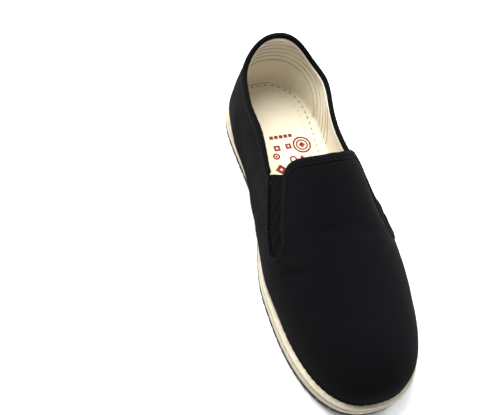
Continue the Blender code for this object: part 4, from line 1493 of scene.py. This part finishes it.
def lining_stitches():
    """Nested arches of thread over the heel's lining, above the counter, and a row along the counter's edge
    whose thread also stands in for the shadow under that edge.
    """
    line, out, along, height = heel_lines(np.linspace(0.02, 1.3, 160))
    parts = []
    under = HEEL_HEIGHT * smooth(COLLAR, 1, along[:, 0] / LENGTH) - BINDING_HEIGHT - ARCH_MARGIN
    # First row: the counter's seam just inside its edge; its thread also stands in for the shadow under the
    # patch's edge
    rows = [(COUNTER_TOP - COUNTER_SEAM, COUNTER_REACH - COUNTER_SEAM, WALL + 0.55 * MM)]
    for row in range(ARCH_COUNT):
        top, reach_out = [first + step * row for first, step in (ARCH_TOP, ARCH_REACH)]
        rows.append((top, reach_out, WALL - 0.04 * MM))
    for top, reach_out, depth in rows:
        arch = arch_height(along, top, reach_out)
        lots = [[]]
        for heights, target, ray, away, limit in zip(height, arch, line, out, under):
            gap = heights - target
            if gap[0] < 0 < gap[-1] and np.interp(0, gap, heights) < limit:
                lots[-1].append(sampled(0, gap, np.concatenate([ray, away], 1)))
            elif lots[-1]:
                lots.append([])
        for lot in lots:
            if len(lot) < 6:
                continue
            lot = np.array(lot)
            lot[:, :3] -= lot[:, 3:] * depth
            flat, run = spread(lot, ARCH_PITCH)
            parts.append(capsules(flat[:, :3], run[:, :3], -flat[:, 3:], *ARCH_STITCH))
    points, faces = join_parts(parts)
    return make_piece("lining_stitches", points, faces, LINING_THREAD, "sock")


def make_counter():
    """Counter patch sewn inside the heel: an arch of canvas down to the insole."""
    line, out, along, height = heel_lines(np.linspace(0.02, 1.2, 160))
    rows, outs = [], []
    for heights, lengths, ray, away in zip(height, along, line, out):
        target = arch_height(lengths, COUNTER_TOP, COUNTER_REACH)
        top = float(target.max())
        gap = heights - target
        if gap[0] >= 0 or top < COUNTER_LEAST:
            continue
        reach_up = float(np.interp(0, gap, heights))
        levels = COUNTER_FOOT + (reach_up - COUNTER_FOOT) * graded(20, end=0.025)
        rows.append(sampled(levels, heights, ray))
        outs.append(sampled(levels, heights, away))
    points, away = np.array(rows), np.array(outs)
    count, levels = points.shape[:2]
    faces = grid_faces(np.arange(count * levels).reshape(count, levels))
    flat, normals = points.reshape(-1, 3), away.reshape(-1, 3)
    run = run_lengths(points[:, 0])
    climb = run_lengths(points)
    spots = np.stack([np.repeat(run[:, None], levels, 1), climb], -1).reshape(-1, 2)
    edge = (climb[:, -1:] - climb).ravel()
    drop = rounded(edge, 0.5 * MM)
    inner = -WALL - COUNTER_STAND + drop - ripples(flat, COUNTER_WAVES) * ease(edge / (2 * MM))
    outer = np.full(len(flat), -WALL + COUNTER_BACK)
    made = shell(flat, faces, spots[faces], normals, outer, np.minimum(inner, outer - 0.12 * MM))
    solid, turned = outward_faces(made[0], made[1], made[2])
    return make_piece("heel_counter_patch", made[0], solid, COUNTER, "sock", turned, sharp=60)


def polygon(corners, radius, start, steps):
    """Closed loop of a regular polygon with its sides split up."""
    angle = start + 2 * math.pi * np.arange(corners + 1) / corners
    tips = np.stack([np.cos(angle), np.sin(angle)], -1) * radius
    share = np.arange(steps)[:, None] / steps
    return np.concatenate([a + (b - a) * share for a, b in zip(tips[:-1], tips[1:])])


def make_print():
    """Generic red print on the insole: rings, lozenges, squares and bars."""
    c, s = math.cos(PRINT_TURN), math.sin(PRINT_TURN)
    turned = np.array([[c, s], [-s, c]])
    parts = []
    for corners, radius, hole, eighths, across, along, steps in PRINTS:
        loops = []
        for size in (radius, hole):
            loop = polygon(corners, size * MM, eighths * math.pi / 4, steps)
            spots = (loop + np.array([across, along]) * MM) @ turned + (MIDDLE, PRINT_START)
            loops.append(place(spots, insole_top(*spots.T) + PRINT_LIFT))
        outer, inner = loops
        down = np.array([0, 0, PRINT_DEPTH])
        points = np.stack([outer, inner, inner - down, outer - down])
        index = np.arange(points[..., 0].size).reshape(points.shape[:2])
        flat = points.reshape(-1, 3)
        faces, _ = outward_faces(flat, loop_faces(index, np.roll(index, -1, 0)))
        parts.append((flat, faces))
    points, faces = join_parts(parts)
    return make_piece("insole_print", points, faces, INK, "sock", sharp=30)


def make_stage():
    """Pale floor and soft studio lights."""
    bpy.ops.mesh.primitive_plane_add(size=FLOOR_SIZE)
    floor = bpy.context.object
    floor.name = "floor"
    material, tree, shader, where = new_material("pale_floor")
    tone = noise(tree, where, 3, 2)
    colour = blend(tree, tone, (0.93, 0.935, 0.93), (0.95, 0.95, 0.95))
    feed(tree, shader, {"Base Color": colour, "Roughness": 0.7, "Specular IOR Level": 0.2})
    floor.data.materials.append(material)
    world = bpy.data.worlds.new("studio")
    bpy.context.scene.world = world
    world.use_nodes = True
    sky = world.node_tree
    background = sky.nodes["Background"]
    way = node(sky, "ShaderNodeSeparateXYZ", {0: node(sky, "ShaderNodeTexCoord").outputs["Generated"]})
    strength = band(sky, way.outputs[1], -0.8, 0.8, *SKY_STRENGTH)
    feed(sky, background, {"Color": (0.98, 0.99, 1.0), "Strength": strength})
    for name, where_at, size, power, colour in LAMPS:
        light = bpy.data.lights.new(name, "AREA")
        light.shape = "DISK"
        light.size = size
        light.energy = power
        light.color = colour
        lamp = bpy.data.objects.new(name, light)
        lamp.location = where_at
        lamp.rotation_mode = "QUATERNION"
        lamp.rotation_quaternion = Vector(where_at).to_track_quat("Z", "Y")
        bpy.context.scene.collection.objects.link(lamp)
    bpy.context.scene.view_settings.view_transform = "Standard"


def make_camera():
    """Camera at the photograph's angle to the shoe, rolled as the shoe lies in it."""
    a, e, r = (math.radians(x) for x in (CAMERA_AZIMUTH, CAMERA_ELEVATION, CAMERA_ROLL))
    back = Vector((math.sin(a) * math.cos(e), -math.cos(a) * math.cos(e), math.sin(e)))
    right = Vector((math.cos(a), math.sin(a), 0))
    up = back.cross(right)
    across = right * math.cos(r) + up * math.sin(r)
    above = up * math.cos(r) - right * math.sin(r)
    data = bpy.data.cameras.new("camera")
    data.sensor_width = SENSOR_WIDTH
    data.lens = CAMERA_FOCUS_PX / FRAME_WIDTH_PX * SENSOR_WIDTH
    data.clip_start = 0.05
    camera = bpy.data.objects.new("camera", data)
    turned = Matrix((across, above, back)).transposed().to_4x4()
    camera.matrix_world = Matrix.Translation(Vector(CAMERA_TARGET) + back * CAMERA_DISTANCE) @ turned
    bpy.context.scene.collection.objects.link(camera)
    bpy.context.scene.camera = camera


make_camera()
make_stage()
make_upper()
make_lining()
hem_stitches()
make_gore(1, "gore_left")
make_gore(-1, "gore_right")
make_binding()
collar_stitches()
make_piping()
layer_bottom = OUTSOLE_THICKNESS + CLEARANCE
for layer_name, layer_thickness, *layer_details in LAYERS:
    make_layer(layer_name, layer_bottom, layer_thickness, *layer_details)
    layer_bottom += layer_thickness + CLEARANCE
make_insole()
# Edge seam: short knots of dark brown thread sunk into the insole, which also stand in for the shade in its
# stitch holes
insole_stitches("insole_edge_stitches", INSOLE_SEAM, 1.9 * MM, 0.36 * MM, BROWN_THREAD_HOLE_SHADE, -0.16 * MM)
insole_stitches("insole_inner_stitches", INSOLE_INNER_ROW, 1.5 * MM, 0.26 * MM, PALE_THREAD, -0.06 * MM)
lining_stitches()
make_counter()
make_print()
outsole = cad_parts["outsole"]
outsole.data.materials.clear()
outsole.data.materials.append(RUBBER)
